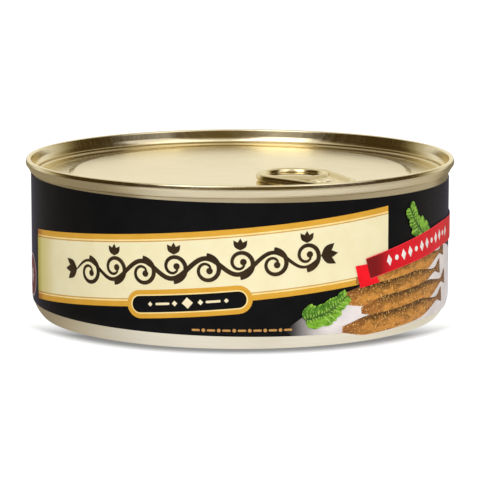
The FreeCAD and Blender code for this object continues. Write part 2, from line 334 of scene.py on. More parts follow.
def thicken(nodes: Nodes, sheet: Socket, thickness: Value) -> Socket:
    """Give a flat sheet a thickness towards -Y and close its back.

    Args:
        nodes: The tree to add to.
        sheet: The sheet, facing -Y.
        thickness: How thick it becomes.

    Returns:
        The socket that holds the closed slab.
    """
    sockets = {"Mesh": sheet, "Offset": (0.0, -1.0, 0.0), "Offset Scale": thickness}
    sockets["Individual"] = False
    front = nodes.get("GeometryNodeExtrudeMesh", sockets, "Mesh", mode="FACES")
    back = nodes.get("GeometryNodeFlipFaces", {0: sheet})
    both = nodes.add("GeometryNodeJoinGeometry")
    for part in (back, front):
        nodes.fill(both, {0: part})
    return nodes.get("GeometryNodeMergeByDistance", {0: both.outputs[0], "Distance": WELD})


def wrapped_rule() -> ShapeRule:
    """Rule that wraps a flat drawing (x along the label, -y off it, z up) round the tin.

    Returns:
        The rule, with the inputs Radius, Corner round, Corner height and Thickness.
    """
    rule = ShapeRule("Wrapped round the tin")
    nodes = rule.nodes
    radius, corner = rule.size("Radius"), rule.size("Corner round")
    height, thickness = rule.size("Corner height"), rule.size("Thickness")
    slab = thicken(nodes, rule.drawing, thickness)
    along, depth, up = nodes.axes(nodes.get("GeometryNodeInputPosition"))
    drop = nodes.greater(nodes.minus(height, up), 0.0)
    left = nodes.minus(nodes.math("POWER", corner, 2.0), nodes.math("POWER", drop, 2.0))
    reach = nodes.plus(nodes.minus(radius, corner), nodes.math("SQRT", left))
    out = nodes.minus(reach, depth)
    turn = nodes.over(along, radius)
    across = nodes.times(out, nodes.math("SINE", turn))
    front = nodes.times(out, nodes.math("COSINE", turn), -1.0)
    place = nodes.join(across, front, up)
    return rule.end(nodes.get("GeometryNodeSetPosition", {0: slab, "Position": place}))


def sprig_rule() -> ShapeRule:
    """Rule that sets leaves along a flat stem, left and right in turn, smaller towards its tip.

    Returns:
        The rule, with the inputs Leaves, Leaf length, Leaf width, Spread, Lift and Seed.
    """
    rule = ShapeRule("Sprig of leaves")
    nodes = rule.nodes
    leaves = rule.size("Leaves", "Int")
    length, width = rule.size("Leaf length"), rule.size("Leaf width")
    spread, lift, seed = rule.size("Spread"), rule.size("Lift"), rule.size("Seed", "Int")
    shrink = 0.45
    sides = {"Size X": 1.0, "Size Y": 1.0, "Vertices X": 8, "Vertices Y": 5}
    grid = nodes.get("GeometryNodeMeshGrid", sides, "Mesh")
    far, side, _ = nodes.axes(nodes.get("GeometryNodeInputPosition"))
    share = nodes.plus(far, 0.5)
    belly = nodes.math("POWER", nodes.math("SINE", nodes.times(share, math.pi)), 0.75)
    shape = nodes.join(nodes.times(share, length), 0.0, nodes.times(belly, side, width))
    mapped = {"Geometry": grid, "Name": BLADE_MAP, "Value": nodes.join(share, side, 0.0)}
    store = "GeometryNodeStoreNamedAttribute"
    named = nodes.get(store, mapped, data_type="FLOAT2", domain="CORNER")
    leaf = nodes.get("GeometryNodeSetPosition", {0: named, "Position": shape})
    stem = nodes.get("GeometryNodeMeshToCurve", {0: rule.drawing})
    spots = nodes.get("GeometryNodeResampleCurve", {"Curve": stem, "Count": leaves})
    index = nodes.get("GeometryNodeInputIndex")
    ahead, _, rise = nodes.axes(nodes.get("GeometryNodeInputTangent"))
    handed = nodes.minus(nodes.times(nodes.math("MODULO", index, 2.0), 2.0), 1.0)
    ranges = {"Min": (0.7, 0.78, 0.0), "Max": (1.3, 1.15, 1.0), "Seed": seed}
    loose = nodes.get("FunctionNodeRandomValue", ranges, data_type="FLOAT_VECTOR")
    lean, grow, _ = nodes.axes(loose)
    heading = nodes.times(nodes.math("ARCTAN2", rise, ahead), -1.0)
    turn = nodes.join(0.0, nodes.plus(heading, nodes.times(handed, spread, lean)), 0.0)
    scale = nodes.times(nodes.minus(1.0, nodes.times(nodes.over(index, leaves), shrink)), grow)
    sizes = nodes.join(scale, 1.0, scale)
    placed = {"Points": spots, "Instance": leaf, "Rotation": turn, "Scale": sizes}
    bunch = nodes.get("GeometryNodeInstanceOnPoints", placed)
    off = nodes.join(0.0, nodes.times(index, lift, -1.0), 0.0)
    moved = {0: bunch, "Translation": off, "Local Space": False}
    return rule.end(nodes.get("GeometryNodeTranslateInstances", moved))


# --------------------------------------------------------------------------- finishes


def srgb(red: int, green: int, blue: int) -> Colour:
    """Turn a colour of 0 to 255 per channel into linear light of 0 to 1 per channel."""
    def linear(channel: int) -> float:
        """Linear light of one channel."""
        share = channel / 255
        return share / 12.92 if share <= 0.04045 else ((share + 0.055) / 1.055) ** 2.4

    return linear(red), linear(green), linear(blue)


class Draft:
    """A material in the making, with one Principled shader."""

    def __init__(self, name: str) -> None:
        """Start the material."""
        self.material = bpy.data.materials.new(name)
        self.material.use_nodes = True
        self.nodes = Nodes(self.material.node_tree)
        self.shader = self.material.node_tree.nodes["Principled BSDF"]

    def dress(self, sockets: dict) -> None:
        """Link or set inputs of the shader, by name."""
        self.nodes.fill(self.shader, sockets)

    def press(self, height: Socket, strength: float, depth: float) -> None:
        """Press a fine relief into the surface."""
        sockets = {"Height": height, "Strength": strength, "Distance": depth}
        self.dress({"Normal": self.nodes.get("ShaderNodeBump", sockets)})

    def coat(
        self, place: Socket, colour: Socket, roughness: float, gloss: float
    ) -> bpy.types.Material:
        """Give a print colour the gloss and the faint tooth of coated paper.

        Args:
            place: Coordinates for the paper's tooth.
            colour: The print's colour.
            roughness: Mean roughness.
            gloss: Specular level.

        Returns:
            The finished material.
        """
        tooth = self.nodes.noise(place, 160.0, 4.0)
        rough = self.nodes.ramp(tooth, 0.3, 0.7, roughness - 0.04, roughness + 0.06)
        self.dress({"Base Color": colour, "Roughness": rough, "Specular IOR Level": gloss})
        self.press(tooth, 0.06, 0.03 * MM)
        return self.material


@dataclass(frozen=True)
class Lacquer:
    """Gold-lacquered tinplate: bright metal with a faint rolled grain."""

    name: str
    pale: Colour  # lacquer where it is thinnest
    deep: Colour  # lacquer where it is thickest
    edge: Colour  # tint of the metal where it is seen at a low angle
    grain: tuple = (1.0, 26.0, 1.0)  # how much finer the rolled grain is along each axis
    roughness: float = 0.2
    relief: float = 0.03  # strength of the grain's bump
    upper: Optional[Colour] = None  # darker gold of the upper wall, painted shade from the seam above it, if it has one

    def material(self) -> bpy.types.Material:
        """Build the material on Object coordinates."""
        draft = Draft(self.name)
        nodes = draft.nodes
        place = nodes.get("ShaderNodeTexCoord", result="Object")
        cloud = nodes.noise(place, 38.0, 3.0)
        rolled = nodes.noise(place, 90.0, 4.0, self.grain)
        share = nodes.ramp(nodes.plus(cloud, nodes.times(rolled, 0.35)), 0.45, 0.95)
        colour = nodes.mix(share, self.pale, self.deep)
        # where a darker upper wall is given, the wall turns to it towards its top: painted shade
        # under the seam
        if self.upper:
            _, _, height = nodes.axes(place)
            colour = nodes.mix(nodes.ramp(height, 12 * MM, 30 * MM), colour, self.upper)
        rough = nodes.ramp(rolled, 0.3, 0.7, self.roughness - 0.03, self.roughness + 0.04)
        draft.dress({"Base Color": colour, "Metallic": 1.0, "Roughness": rough})
        draft.dress({"Specular Tint": self.edge})
        dents = nodes.noise(place, 260.0, 2.0)
        draft.press(nodes.plus(nodes.times(rolled, 0.5), dents), self.relief, 0.05 * MM)
        return draft.material


@dataclass(frozen=True)
class Ink:
    """One printed colour on coated paper."""

    name: str
    tone: Colour
    other: Colour  # the tone that it drifts to
    # colours that take over along the label, each with its start and end in millimetres
    shade: tuple = ()
    roughness: float = 0.4  # mean roughness of the coating
    gloss: float = 0.12  # specular level of the coating
    sheen: float = 0.0  # weight of the bluish sheen seen along the paper

    def material(self) -> bpy.types.Material:
        """Build the material on the map of the unrolled label."""
        draft = Draft(self.name)
        nodes = draft.nodes
        place = nodes.get("ShaderNodeUVMap", uv_map=PRINT_MAP)
        drift = nodes.ramp(nodes.noise(place, 22.0, 3.0), 0.3, 0.7)
        colour = nodes.mix(drift, self.tone, self.other)
        along, _, _ = nodes.axes(place)
        for start, end, toward in self.shade:
            share = nodes.ramp(along, start / MAP_UNIT, end / MAP_UNIT)
            colour = nodes.mix(share, colour, toward)
        draft.dress({"Sheen Weight": self.sheen, "Sheen Roughness": 0.25})
        draft.dress({"Sheen Tint": (0.42, 0.36, 1.0)})
        return draft.coat(place, colour, self.roughness, self.gloss)


@dataclass(frozen=True)
class BladeInk:
    """Print of a leaf or a fish, which changes along and across each blade."""

    name: str
    back: Colour  # colour of the upper edge
    belly: Colour  # colour of the lower edge
    root: Colour  # colour of the first end
    tip: Colour  # colour of the last end
    speck: Colour  # colour of the specks
    specks: float = 0.5  # how much of the blade the specks take
    # 1 where the back is on the left, seen from the root, and -1 where it is on the right
    side: float = 1.0
    vein: Optional[Colour] = None  # colour of the line along the middle, if it has one

    def material(self) -> bpy.types.Material:
        """Build the material on the blade's own map and Object coordinates."""
        draft = Draft(self.name)
        nodes = draft.nodes
        blade = nodes.get("ShaderNodeUVMap", uv_map=BLADE_MAP)
        space = nodes.get("ShaderNodeTexCoord", result="Object")
        along, across, _ = nodes.axes(blade)
        ragged = nodes.times(nodes.minus(nodes.noise(space, 900.0, 3.0), 0.5), 0.5)
        edge = nodes.math("MULTIPLY_ADD", across, self.side, ragged)
        blotch = nodes.ramp(nodes.noise(space, 380.0, 4.0, (1.0, 1.0, 2.2)), 0.42, 0.66, 0.0, 0.6)
        colour = nodes.mix(blotch, self.belly, self.root)
        colour = nodes.mix(nodes.ramp(edge, -0.15, 0.55), colour, self.back)
        colour = nodes.mix(nodes.ramp(along, 0.35, 0.0), colour, self.root)
        colour = nodes.mix(nodes.ramp(along, 0.75, 1.0), colour, self.tip)
        fine = nodes.ramp(nodes.noise(space, 2600.0, 3.0), 0.62 - 0.2 * self.specks, 0.72, 0.0, 0.8)
        colour = nodes.mix(fine, colour, self.speck)
        if self.vein:
            line = nodes.ramp(nodes.math("ABSOLUTE", across), 0.09, 0.03)
            colour = nodes.mix(line, colour, self.vein)
        return draft.coat(space, colour, 0.4, 0.12)


Print = Union[Ink, BladeInk]

TIN_GOLD = Lacquer(
    "tin_gold",
    pale=(0.86, 0.80, 0.66),
    deep=(0.80, 0.73, 0.58),
    edge=(1.0, 0.97, 0.88),
    grain=(1.0, 1.0, 22.0),
    # darker gold on the upper wall: painted shade under the seam
    upper=(0.66, 0.57, 0.38),
)
LID_GOLD = Lacquer(
    "lid_gold",
    pale=(0.78, 0.69, 0.49),
    deep=(0.74, 0.65, 0.45),
    edge=(1.0, 0.95, 0.77),
)
TAB_GOLD = Lacquer(
    "tab_gold",
    pale=(0.72, 0.62, 0.40),
    deep=(0.66, 0.56, 0.35),
    edge=(0.94, 0.87, 0.66),
    grain=(22.0, 1.0, 1.0),
    roughness=0.17,
)

GOLD_SHADE = ((-57.0, -62.4, srgb(176, 112, 34)),)
LIGHT_SHADE = ((-56.0, -62.0, srgb(232, 178, 96)),)
DARK_SHADE = ((-56.0, -62.0, srgb(168, 120, 60)),)
CREAM_SHADE = ((-50.0, -58.5, srgb(228, 215, 150)), (-58.5, -62.0, srgb(198, 186, 84)))
RED_SHADE = ((39.0, 33.0, srgb(128, 22, 24)),)
DISH_SHADE = ((21.0, 10.5, srgb(27, 27, 30)), (62.0, 74.0, srgb(236, 234, 250)))

BLACK = Ink("print_black", srgb(13, 13, 15), srgb(17, 17, 19), (), 0.42, 0.07, 0.14)
GOLD = Ink("print_gold", srgb(224, 170, 62), srgb(219, 164, 56), GOLD_SHADE)
LIGHT_LINE = Ink("print_light_line", srgb(255, 234, 170), srgb(252, 224, 152), LIGHT_SHADE)
DARK_LINE = Ink("print_dark_line", srgb(214, 172, 96), srgb(206, 160, 84), DARK_SHADE)
CREAM = Ink("print_cream", srgb(245, 238, 203), srgb(242, 233, 194), CREAM_SHADE)
SEPIA = Ink("print_sepia", srgb(48, 36, 22), srgb(62, 46, 28))
IVORY = Ink("print_ivory", srgb(250, 240, 214), srgb(240, 226, 190))
OLD_GOLD = Ink("print_old_gold", srgb(206, 156, 92), srgb(190, 140, 80))
RED = Ink("print_red", srgb(232, 22, 40), srgb(222, 18, 36), RED_SHADE)
TAIL_RED = Ink("print_tail_red", srgb(252, 22, 40), srgb(238, 18, 38))
RED_EDGE = Ink("print_red_edge", srgb(255, 70, 84), srgb(250, 52, 66))
WHITE = Ink("print_white", srgb(250, 248, 248), srgb(240, 236, 238))
MAROON = Ink("print_maroon", srgb(128, 36, 52), srgb(108, 28, 44))
SILVER = Ink("print_silver", srgb(206, 190, 204), srgb(188, 176, 194))
DISH = Ink("print_dish", srgb(246, 241, 244), srgb(230, 223, 228), DISH_SHADE)
FISH = BladeInk(
    "print_fish",
    back=srgb(64, 38, 18),
    belly=srgb(212, 146, 66),
    root=srgb(112, 64, 30),
    tip=srgb(150, 92, 46),
    speck=srgb(252, 210, 128),
    side=-1.0,
)
LEAF = BladeInk(
    "print_leaf",
    back=srgb(56, 108, 32),
    belly=srgb(128, 186, 54),
    root=srgb(42, 84, 26),
    tip=srgb(152, 206, 70),
    speck=srgb(196, 226, 112),
    specks=0.25,
    vein=srgb(170, 210, 104),
)


# --------------------------------------------------------------------------- turned shells


@dataclass(frozen=True)
class Corner:
    """A corner of a turned profile."""

    radius: float  # distance from the axis
    height: float  # height above the ground
    rounding: float = 0.0  # radius of the arc that rounds the corner, or 0 for a sharp one

    def spot(self) -> Vector:
        """The corner as a point of the profile."""
        return Vector((self.radius, 0.0, self.height))


def rounded_profile(corners: list[Corner], step: float = math.radians(7)) -> list[Vector]:
    """Draw a profile with its corners rounded.

    Args:
        corners: The corners, from one end of the profile to the other.
        step: Turn between two points of an arc.

    Returns:
        The profile's points, with a guard point on each side of every turn.
    """
    guard = 0.06 * MM
    points = [corners[0].spot()]
    for before, corner, after in zip(corners, corners[1:], corners[2:]):
        spot = corner.spot()
        back = (before.spot() - spot).normalized()
        ahead = (after.spot() - spot).normalized()
        turn = math.pi - back.angle(ahead)
        reach = corner.rounding * math.tan(turn / 2)
        points.append(spot + back * (reach + guard))
        if corner.rounding:
            middle = (back + ahead).normalized()
            centre = spot + middle * (corner.rounding / math.cos(turn / 2))
            start, end = spot + back * reach - centre, spot + ahead * reach - centre
            for share in shares(max(2, math.ceil(turn / step))):
                weights = math.sin((1 - share) * turn), math.sin(share * turn)
                points.append(centre + (start * weights[0] + end * weights[1]) / math.sin(turn))
        else:
            points.append(spot)
        points.append(spot + ahead * (reach + guard))
    points.append(corners[-1].spot())
    return points


def shares(steps: int) -> list[float]:
    """Shares of a length, from 0 to 1 in equal steps."""
    return [step / steps for step in range(steps + 1)]


def path_mesh(name: str, points: list[Vector]) -> bpy.types.Mesh:
    """Join points into a mesh of edges."""
    mesh = bpy.data.meshes.new(name)
    mesh.from_pydata(points, [(number, number + 1) for number in range(len(points) - 1)], [])
    return mesh


def finish_piece(piece: bpy.types.Object, stands_for: Optional[Node] = None) -> None:
    """Fix a piece to the tin, hide the solid that it replaces and log its size.

    Args:
        piece: The finished piece.
        stands_for: The solid that it replaces, if any.
    """
    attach(piece, BODY)
    if stands_for:
        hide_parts(stands_for.value)
    axes = list(zip(*(vertex.co for vertex in piece.data.vertices)))
    low, high = [[round(end(axis) / MM, 2) for axis in axes] for end in (min, max)]
    log.info("%s: %d faces, from %s to %s mm", piece.name, len(piece.data.polygons), low, high)


def turn_piece(
    turned: ShapeRule,
    name: str,
    corners: list[Corner],
    finish: Lacquer,
    slot: Slot,
    stands_for: Optional[Node] = None,
    **values: object,
) -> None:
    """Turn a rounded profile about an upright axis and fix the shell to the tin.

    Args:
        turned: Rule that turns a profile.
        name: Name of the piece.
        corners: Corners of its half profile.
        finish: Its finish.
        slot: The record's slot for the finish. It is not used.
        stands_for: The solid that it replaces, if any.
        **values: Other inputs of the rule.
    """
    drawing = path_mesh(f"{name}_profile", rounded_profile(corners))
    piece = turned.make(name, drawing, Finish=finish.material(), **values)
    finish_piece(piece, stands_for)


@dataclass
class CanBody:
    """The drawn body: wall, rounded lower corner, standing ring and recessed base."""

    wall: float
    top: float  # height of the wall's upper edge, inside the seam
    corner_rise: float = 2.9 * MM  # height at which the corner's slope would meet the wall
    corner_inset: float = 2.4 * MM  # how far the slope's foot stands in from the wall
    corner_round: float = 7.3 * MM
    floor_round: float = 1.2 * MM  # radius between the corner's slope and the ground
    ring_width: float = 2.8 * MM
    ring_round: float = 0.8 * MM  # radius of the ring's inner edge
    base_run: float = 1.2 * MM  # width of the slope up to the base
    base_recess: float = 1.1 * MM  # height of the base above the ground
    base_round: float = 0.6 * MM  # radius of the base's bends
    bead_inset: float = 12.4 * MM  # how far the bead stands in from the base's edge
    bead_run: float = 1.0 * MM  # width of the bead's slope
    bead_recess: float = 0.5 * MM  # height of the bead's inside above the base
    neck_inset: float = 1.2 * MM  # how far the neck under the seam stands in from the wall
    neck_depth: float = 1.7 * MM  # how far the neck reaches down
    lip_round: float = 0.2 * MM  # radius of the wall's upper edge

    def corner_height(self) -> float:
        """Height at which the wall starts to bend into the corner."""
        slope = math.atan2(self.corner_inset, self.corner_rise)
        return self.corner_rise + self.corner_round * math.tan(slope / 2)

    def profile(self) -> list[Corner]:
        """Half profile, from under the lid's middle out, down the wall and in over the base."""
        ring = self.wall - self.corner_inset
        ring_inner = ring - self.ring_width
        base = ring_inner - self.base_run
        bead = base - self.bead_inset
        under_lid = self.top - self.neck_depth
        neck = self.wall - self.neck_inset
        return [
            Corner(0.0, under_lid),
            Corner(neck, under_lid),
            Corner(neck, self.top),
            Corner(self.wall, self.top, self.lip_round),
            Corner(self.wall, self.corner_rise, self.corner_round),
            Corner(ring, 0.0, self.floor_round),
            Corner(ring_inner, 0.0, self.ring_round),
            Corner(base, self.base_recess, self.base_round),
            Corner(bead, self.base_recess, self.base_round),
            Corner(bead - self.bead_run, self.base_recess + self.bead_recess, self.base_round),
            Corner(0.0, self.base_recess + self.bead_recess),
        ]

    def build(self, turned: ShapeRule) -> None:
        """Turn the body and fix it to the tin."""
        slot = Slot.TINPLATE
        turn_piece(turned, "can_body_shell", self.profile(), TIN_GOLD, slot, Node.CAN, Segments=360)


@dataclass
class Lid:
    """The easy-open end: rolled seam, chuck wall, scored rim, step and raised panel."""

    seam: float  # radius of the seam's outer face
    top: float  # height of the seam's crest
    wall: float  # radius of the body's wall, which the seam grips
    seam_depth: float = 2.9 * MM
    seam_round: float = 0.45 * MM
    shoulder_inset: float = 0.2 * MM
    belly_depth: float = 0.9 * MM
    belly_height: float = 0.45 * MM
    belly_round: float = 0.6 * MM
    lean_depth: float = 2.6 * MM
    lean_round: float = 0.1 * MM
    foot_overhang: float = 0.45 * MM
    foot_round: float = 0.12 * MM  # radius of the seam's lower edge
    wall_edge: float = 0.2 * MM
    plate: float = 0.25 * MM
    chuck_lean: float = 0.85 * MM
    chuck_round: float = 2.6 * MM
    rim_depth: float = 3.8 * MM
    rim_width: float = 8.2 * MM
    score_inset: float = 3.8 * MM
    score_width: float = 0.18 * MM
    score_cut: float = 0.05 * MM
    step_run: float = 1.5 * MM
    step_round: float = 0.8 * MM
    panel_depth: float = 3.1 * MM

    def rim_outer(self) -> float:
        """Radius at which the chuck wall would meet the rim."""
        return self.seam - self.shoulder_inset - 2 * self.seam_round - self.chuck_lean

    def profile(self) -> list[Corner]:
        """Half profile, from the middle of the panel out over the seam and back underneath."""
        rim_outer = self.rim_outer()
        rim_inner = rim_outer - self.rim_width
        panel = rim_inner - self.step_run
        score = rim_outer - self.score_inset
        belly = self.top - self.belly_depth
        panel_top, rim_top = self.top - self.panel_depth, self.top - self.rim_depth
        foot, seam_foot = self.top - self.seam_depth, self.wall + self.foot_overhang
        upper = [
            Corner(0.0, panel_top),
            Corner(panel, panel_top, self.step_round),
            Corner(rim_inner, rim_top, self.step_round),
            Corner(score - self.score_width, rim_top),
            Corner(score, rim_top - self.score_cut),
            Corner(score + self.score_width, rim_top),
            Corner(rim_outer, rim_top, self.chuck_round),
            Corner(rim_outer + self.chuck_lean, self.top, self.seam_round),
            Corner(self.seam - self.shoulder_inset, self.top, self.seam_round),
            Corner(self.seam, belly, self.belly_round),
            Corner(self.seam, belly - self.belly_height, self.belly_round),
            Corner(seam_foot, self.top - self.lean_depth, self.lean_round),
            Corner(seam_foot, foot, self.foot_round),
        ]
        lower = [
            Corner(self.wall - self.wall_edge, foot),
            Corner(rim_outer + self.plate, rim_top - self.plate),
            Corner(rim_inner, rim_top - self.plate),
            Corner(panel, panel_top - self.plate),
            Corner(0.0, panel_top - self.plate),
        ]
        return upper + lower

    def build(self, turned: ShapeRule) -> None:
        """Turn the lid and fix it to the tin."""
        profile = self.profile()
        turn_piece(turned, "lid_shell", profile, LID_GOLD, Slot.LID, Node.LID, Segments=480)


# --------------------------------------------------------------------------- ring tab


@dataclass
class PullTab:
    """The ring tab, held flat on the panel by the lid's rivet.

    Lengths along the tab are distances from the tin's axis.
    """

    low: float  # height of the tab's underside
    high: float  # height of its rolled edges
    panel: float  # height of the panel under it
    score: float  # radius of the score that its nose breaks
    angle: float = math.radians(-56.5)  # direction of the tab from +X
    length: float = 29.1 * MM
    ring_radius: float = 9.4 * MM
    nose_radius: float = 6.2 * MM
    nose_inset: float = 1.9 * MM
    rail: float = 2.3 * MM
    bridge: float = 0.9 * MM
    well_radius: float = 3.6 * MM
    web: float = 0.4 * MM
    rivet_setback: float = 9.9 * MM
    rivet_radius: float = 1.5 * MM
    head_radius: float = 2.5 * MM
    head: float = 0.5 * MM
    roll: float = 0.95 * MM  # radius of its rolled edges
    plate_rise: float = 0.8 * MM
    # how far inside and outside its radius the well's side starts and ends
    well_slope: Point = (0.5 * MM, 0.2 * MM)
    slot_radius: float = 3.05 * MM  # radius of the slot cut round the rivet
    slot_wide: float = 0.28 * MM  # distance from that radius at which the slot's side starts
    slot_narrow: float = 0.12 * MM  # distance from that radius at which the slot's floor starts
    slot_start: float = math.radians(128)  # bearing from the rivet at which the slot starts
    slot_full: float = math.radians(118)  # bearing from the rivet at which it is at its full depth
    slot_web: float = 0.1 * MM  # thickness of the web left under the slot
    blend: float = 0.1 * MM  # size of the bend between the rolls and the plate
    dimple_floor: float = 0.8 * MM  # radius of the floor of the dimple in the rivet's head
    dimple_rim: float = 1.3 * MM  # radius of the dimple's rim
    dimple_depth: float = 0.14 * MM
    turns: int = 288
    rungs: int = 44

    def __post_init__(self) -> None:
        """Work out the places that follow from the sizes."""
        self.tip = self.score - self.nose_inset
        self.nose = self.tip - self.nose_radius
        self.ring = self.tip - self.length + self.ring_radius
        self.rivet = self.tip - self.rivet_setback
        start = self.tip - self.length + self.rail
        end = self.rivet - self.well_radius - self.bridge
        self.hole = (start + end) / 2
        self.hole_radius = (end - start) / 2

    def inside(self, along: float, across: float) -> float:
        """How far a point of the tab's plan lies inside its outline.

        Args:
            along: Distance from the tin's axis along the tab.
            across: Distance from the tab's middle line.

        Returns:
            The distance to the outline, negative outside it.
        """
        span = self.nose - self.ring
        lean = (self.ring_radius - self.nose_radius) / span
        level = math.sqrt(1 - lean * lean)
        far, side = along - self.ring, abs(across)
        reach = far * level - side * lean
        if reach < 0:
            return self.ring_radius - math.hypot(far, side)
        if reach > span * level:
            return self.nose_radius - math.hypot(far - span, side)
        return self.ring_radius - far * lean - side * level

    def reach(self, turn: float) -> float:
        """Distance from the finger hole's middle to the outline, in one direction."""
        near, far = self.hole_radius, self.length
        for _ in range(40):
            middle = (near + far) / 2
            if self.inside(self.hole + middle * math.cos(turn), middle * math.sin(turn)) > 0:
                near = middle
            else:
                far = middle
        return near

    def surface(self, along: float, across: float) -> tuple[float, float]:
        """Height of the tab's upper and lower face at a point of its plan.

        Args:
            along: Distance from the tin's axis along the tab.
            across: Distance from the tab's middle line.

        Returns:
            Height of the upper face and height of the lower face.
        """
        half = (self.high - self.low) / 2
        middle = self.low + half
        edges = (
            max(self.inside(along, across), 0.0),
            max(math.hypot(along - self.hole, across) - self.hole_radius, 0.0),
        )
        rolls = [math.sqrt(max(0.0, 1 - ((edge - self.roll) / self.roll) ** 2)) for edge in edges]
        rounding = min(1.0, min(edges) / (0.5 * self.roll))
        under = math.sqrt(1 - (1 - rounding) ** 2)
        off_rivet = math.hypot(along - self.rivet, across)
        inner, outer = self.well_slope
        well = smooth_step(off_rivet, self.well_radius - inner, self.well_radius + outer)
        plate = self.low + self.web + (self.plate_rise - self.web) * well
        bearing = abs(math.atan2(across, self.rivet - along))
        slot = smooth_step(abs(off_rivet - self.slot_radius), self.slot_wide, self.slot_narrow)
        slot *= smooth_step(bearing, self.slot_start, self.slot_full)
        plate -= slot * (self.web - self.slot_web)
        upper = smooth_peak([middle + half * roll for roll in rolls] + [plate], self.blend)
        upper = middle + (upper - middle) * max(under, 0.0) if upper > middle else upper
        lower = middle - half * under
        return max(upper, lower + 0.02 * MM * under), lower

    def build(self) -> None:
        """Bend the tab out of a ladder of rungs from the finger hole to the outline."""
        turns = [math.pi * number / self.rungs for number in range(self.rungs + 1)]
        edge = [0.5 - 0.5 * math.cos(turn) for turn in turns]
        bm = bmesh.new()
        rings = []
        for number in range(self.turns):
            turn = math.tau * number / self.turns
            reach = self.reach(turn)
            outs = [self.hole_radius + (reach - self.hole_radius) * share for share in edge]
            spots = [polar((self.hole, 0.0), out, turn) for out in outs]
            loop = [(*spot, self.surface(*spot)[0]) for spot in spots]
            loop += [(*spot, self.surface(*spot)[1]) for spot in reversed(spots[1:-1])]
            rings.append([bm.verts.new(self.turned(spot)) for spot in loop])
        for ring, after in zip(rings, rings[1:] + rings[:1]):
            for corners in zip(ring, ring[1:] + ring[:1], after[1:] + after[:1], after):
                bm.faces.new(corners)
        piece = mesh_piece("ring_tab", bm, TAB_GOLD.material())
        finish_piece(piece, Node.TAB)

    def turned(self, spot: tuple[float, float, float]) -> Vector:
        """Turn a point of the tab's plan to where the tab points."""
        cosine, sine = math.cos(self.angle), math.sin(self.angle)
        along, across, height = spot
        return Vector((along * cosine - across * sine, along * sine + across * cosine, height))

    def build_rivet(self, turned: ShapeRule) -> None:
        """Turn the rivet that rises out of the panel and clasps the tab."""
        top = self.low + self.web + 0.05 * MM + self.head
        under, dimple = top - self.head, top - self.dimple_depth
        foot = self.panel - 0.1 * MM
        corners = [
            Corner(0.0, dimple),
            Corner(self.dimple_floor, dimple, 0.2 * MM),
            Corner(self.dimple_rim, top, 0.3 * MM),
            Corner(self.head_radius, top, 0.2 * MM),
            Corner(self.head_radius, under, 0.1 * MM),
            Corner(self.rivet_radius, under),
            Corner(self.rivet_radius, self.panel, 0.2 * MM),
            Corner(self.rivet_radius + 0.6 * MM, foot),
            Corner(0.0, foot),
        ]
        centre = self.turned((self.rivet, 0.0, 0.0))
        turn_piece(turned, "rivet", corners, LID_GOLD, Slot.LID, Segments=96, Centre=centre)


def smooth_step(value: float, low: float, high: float) -> float:
    """Smooth rise from 0 at low to 1 at high, which may be the smaller one."""
    share = min(max((value - low) / (high - low), 0.0), 1.0)
    return share * share * (3 - 2 * share)


def smooth_peak(values: list[float], blend: float) -> float:
    """Largest of some heights, with a soft bend of size blend where two of them meet."""
    peak = max(values)
    return peak + blend * math.log(sum(math.exp((value - peak) / blend) for value in values))


def mesh_piece(name: str, bm: bmesh.types.BMesh, material: bpy.types.Material) -> bpy.types.Object:
    """Turn a bmesh into an object with smooth faces that point outwards.

    Args:
        name: Name of the object.
        bm: Its faces; it is freed.
        material: Its material.

    Returns:
        The object, in the scene.
    """
    bmesh.ops.recalc_face_normals(bm, faces=bm.faces)
    for face in bm.faces:
        face.smooth = True
    mesh = bpy.data.meshes.new(name)
    bm.to_mesh(mesh)
    bm.free()
    mesh.materials.append(material)
    piece = bpy.data.objects.new(name, mesh)
    bpy.context.scene.collection.objects.link(piece)
    return piece


# --------------------------------------------------------------------------- label


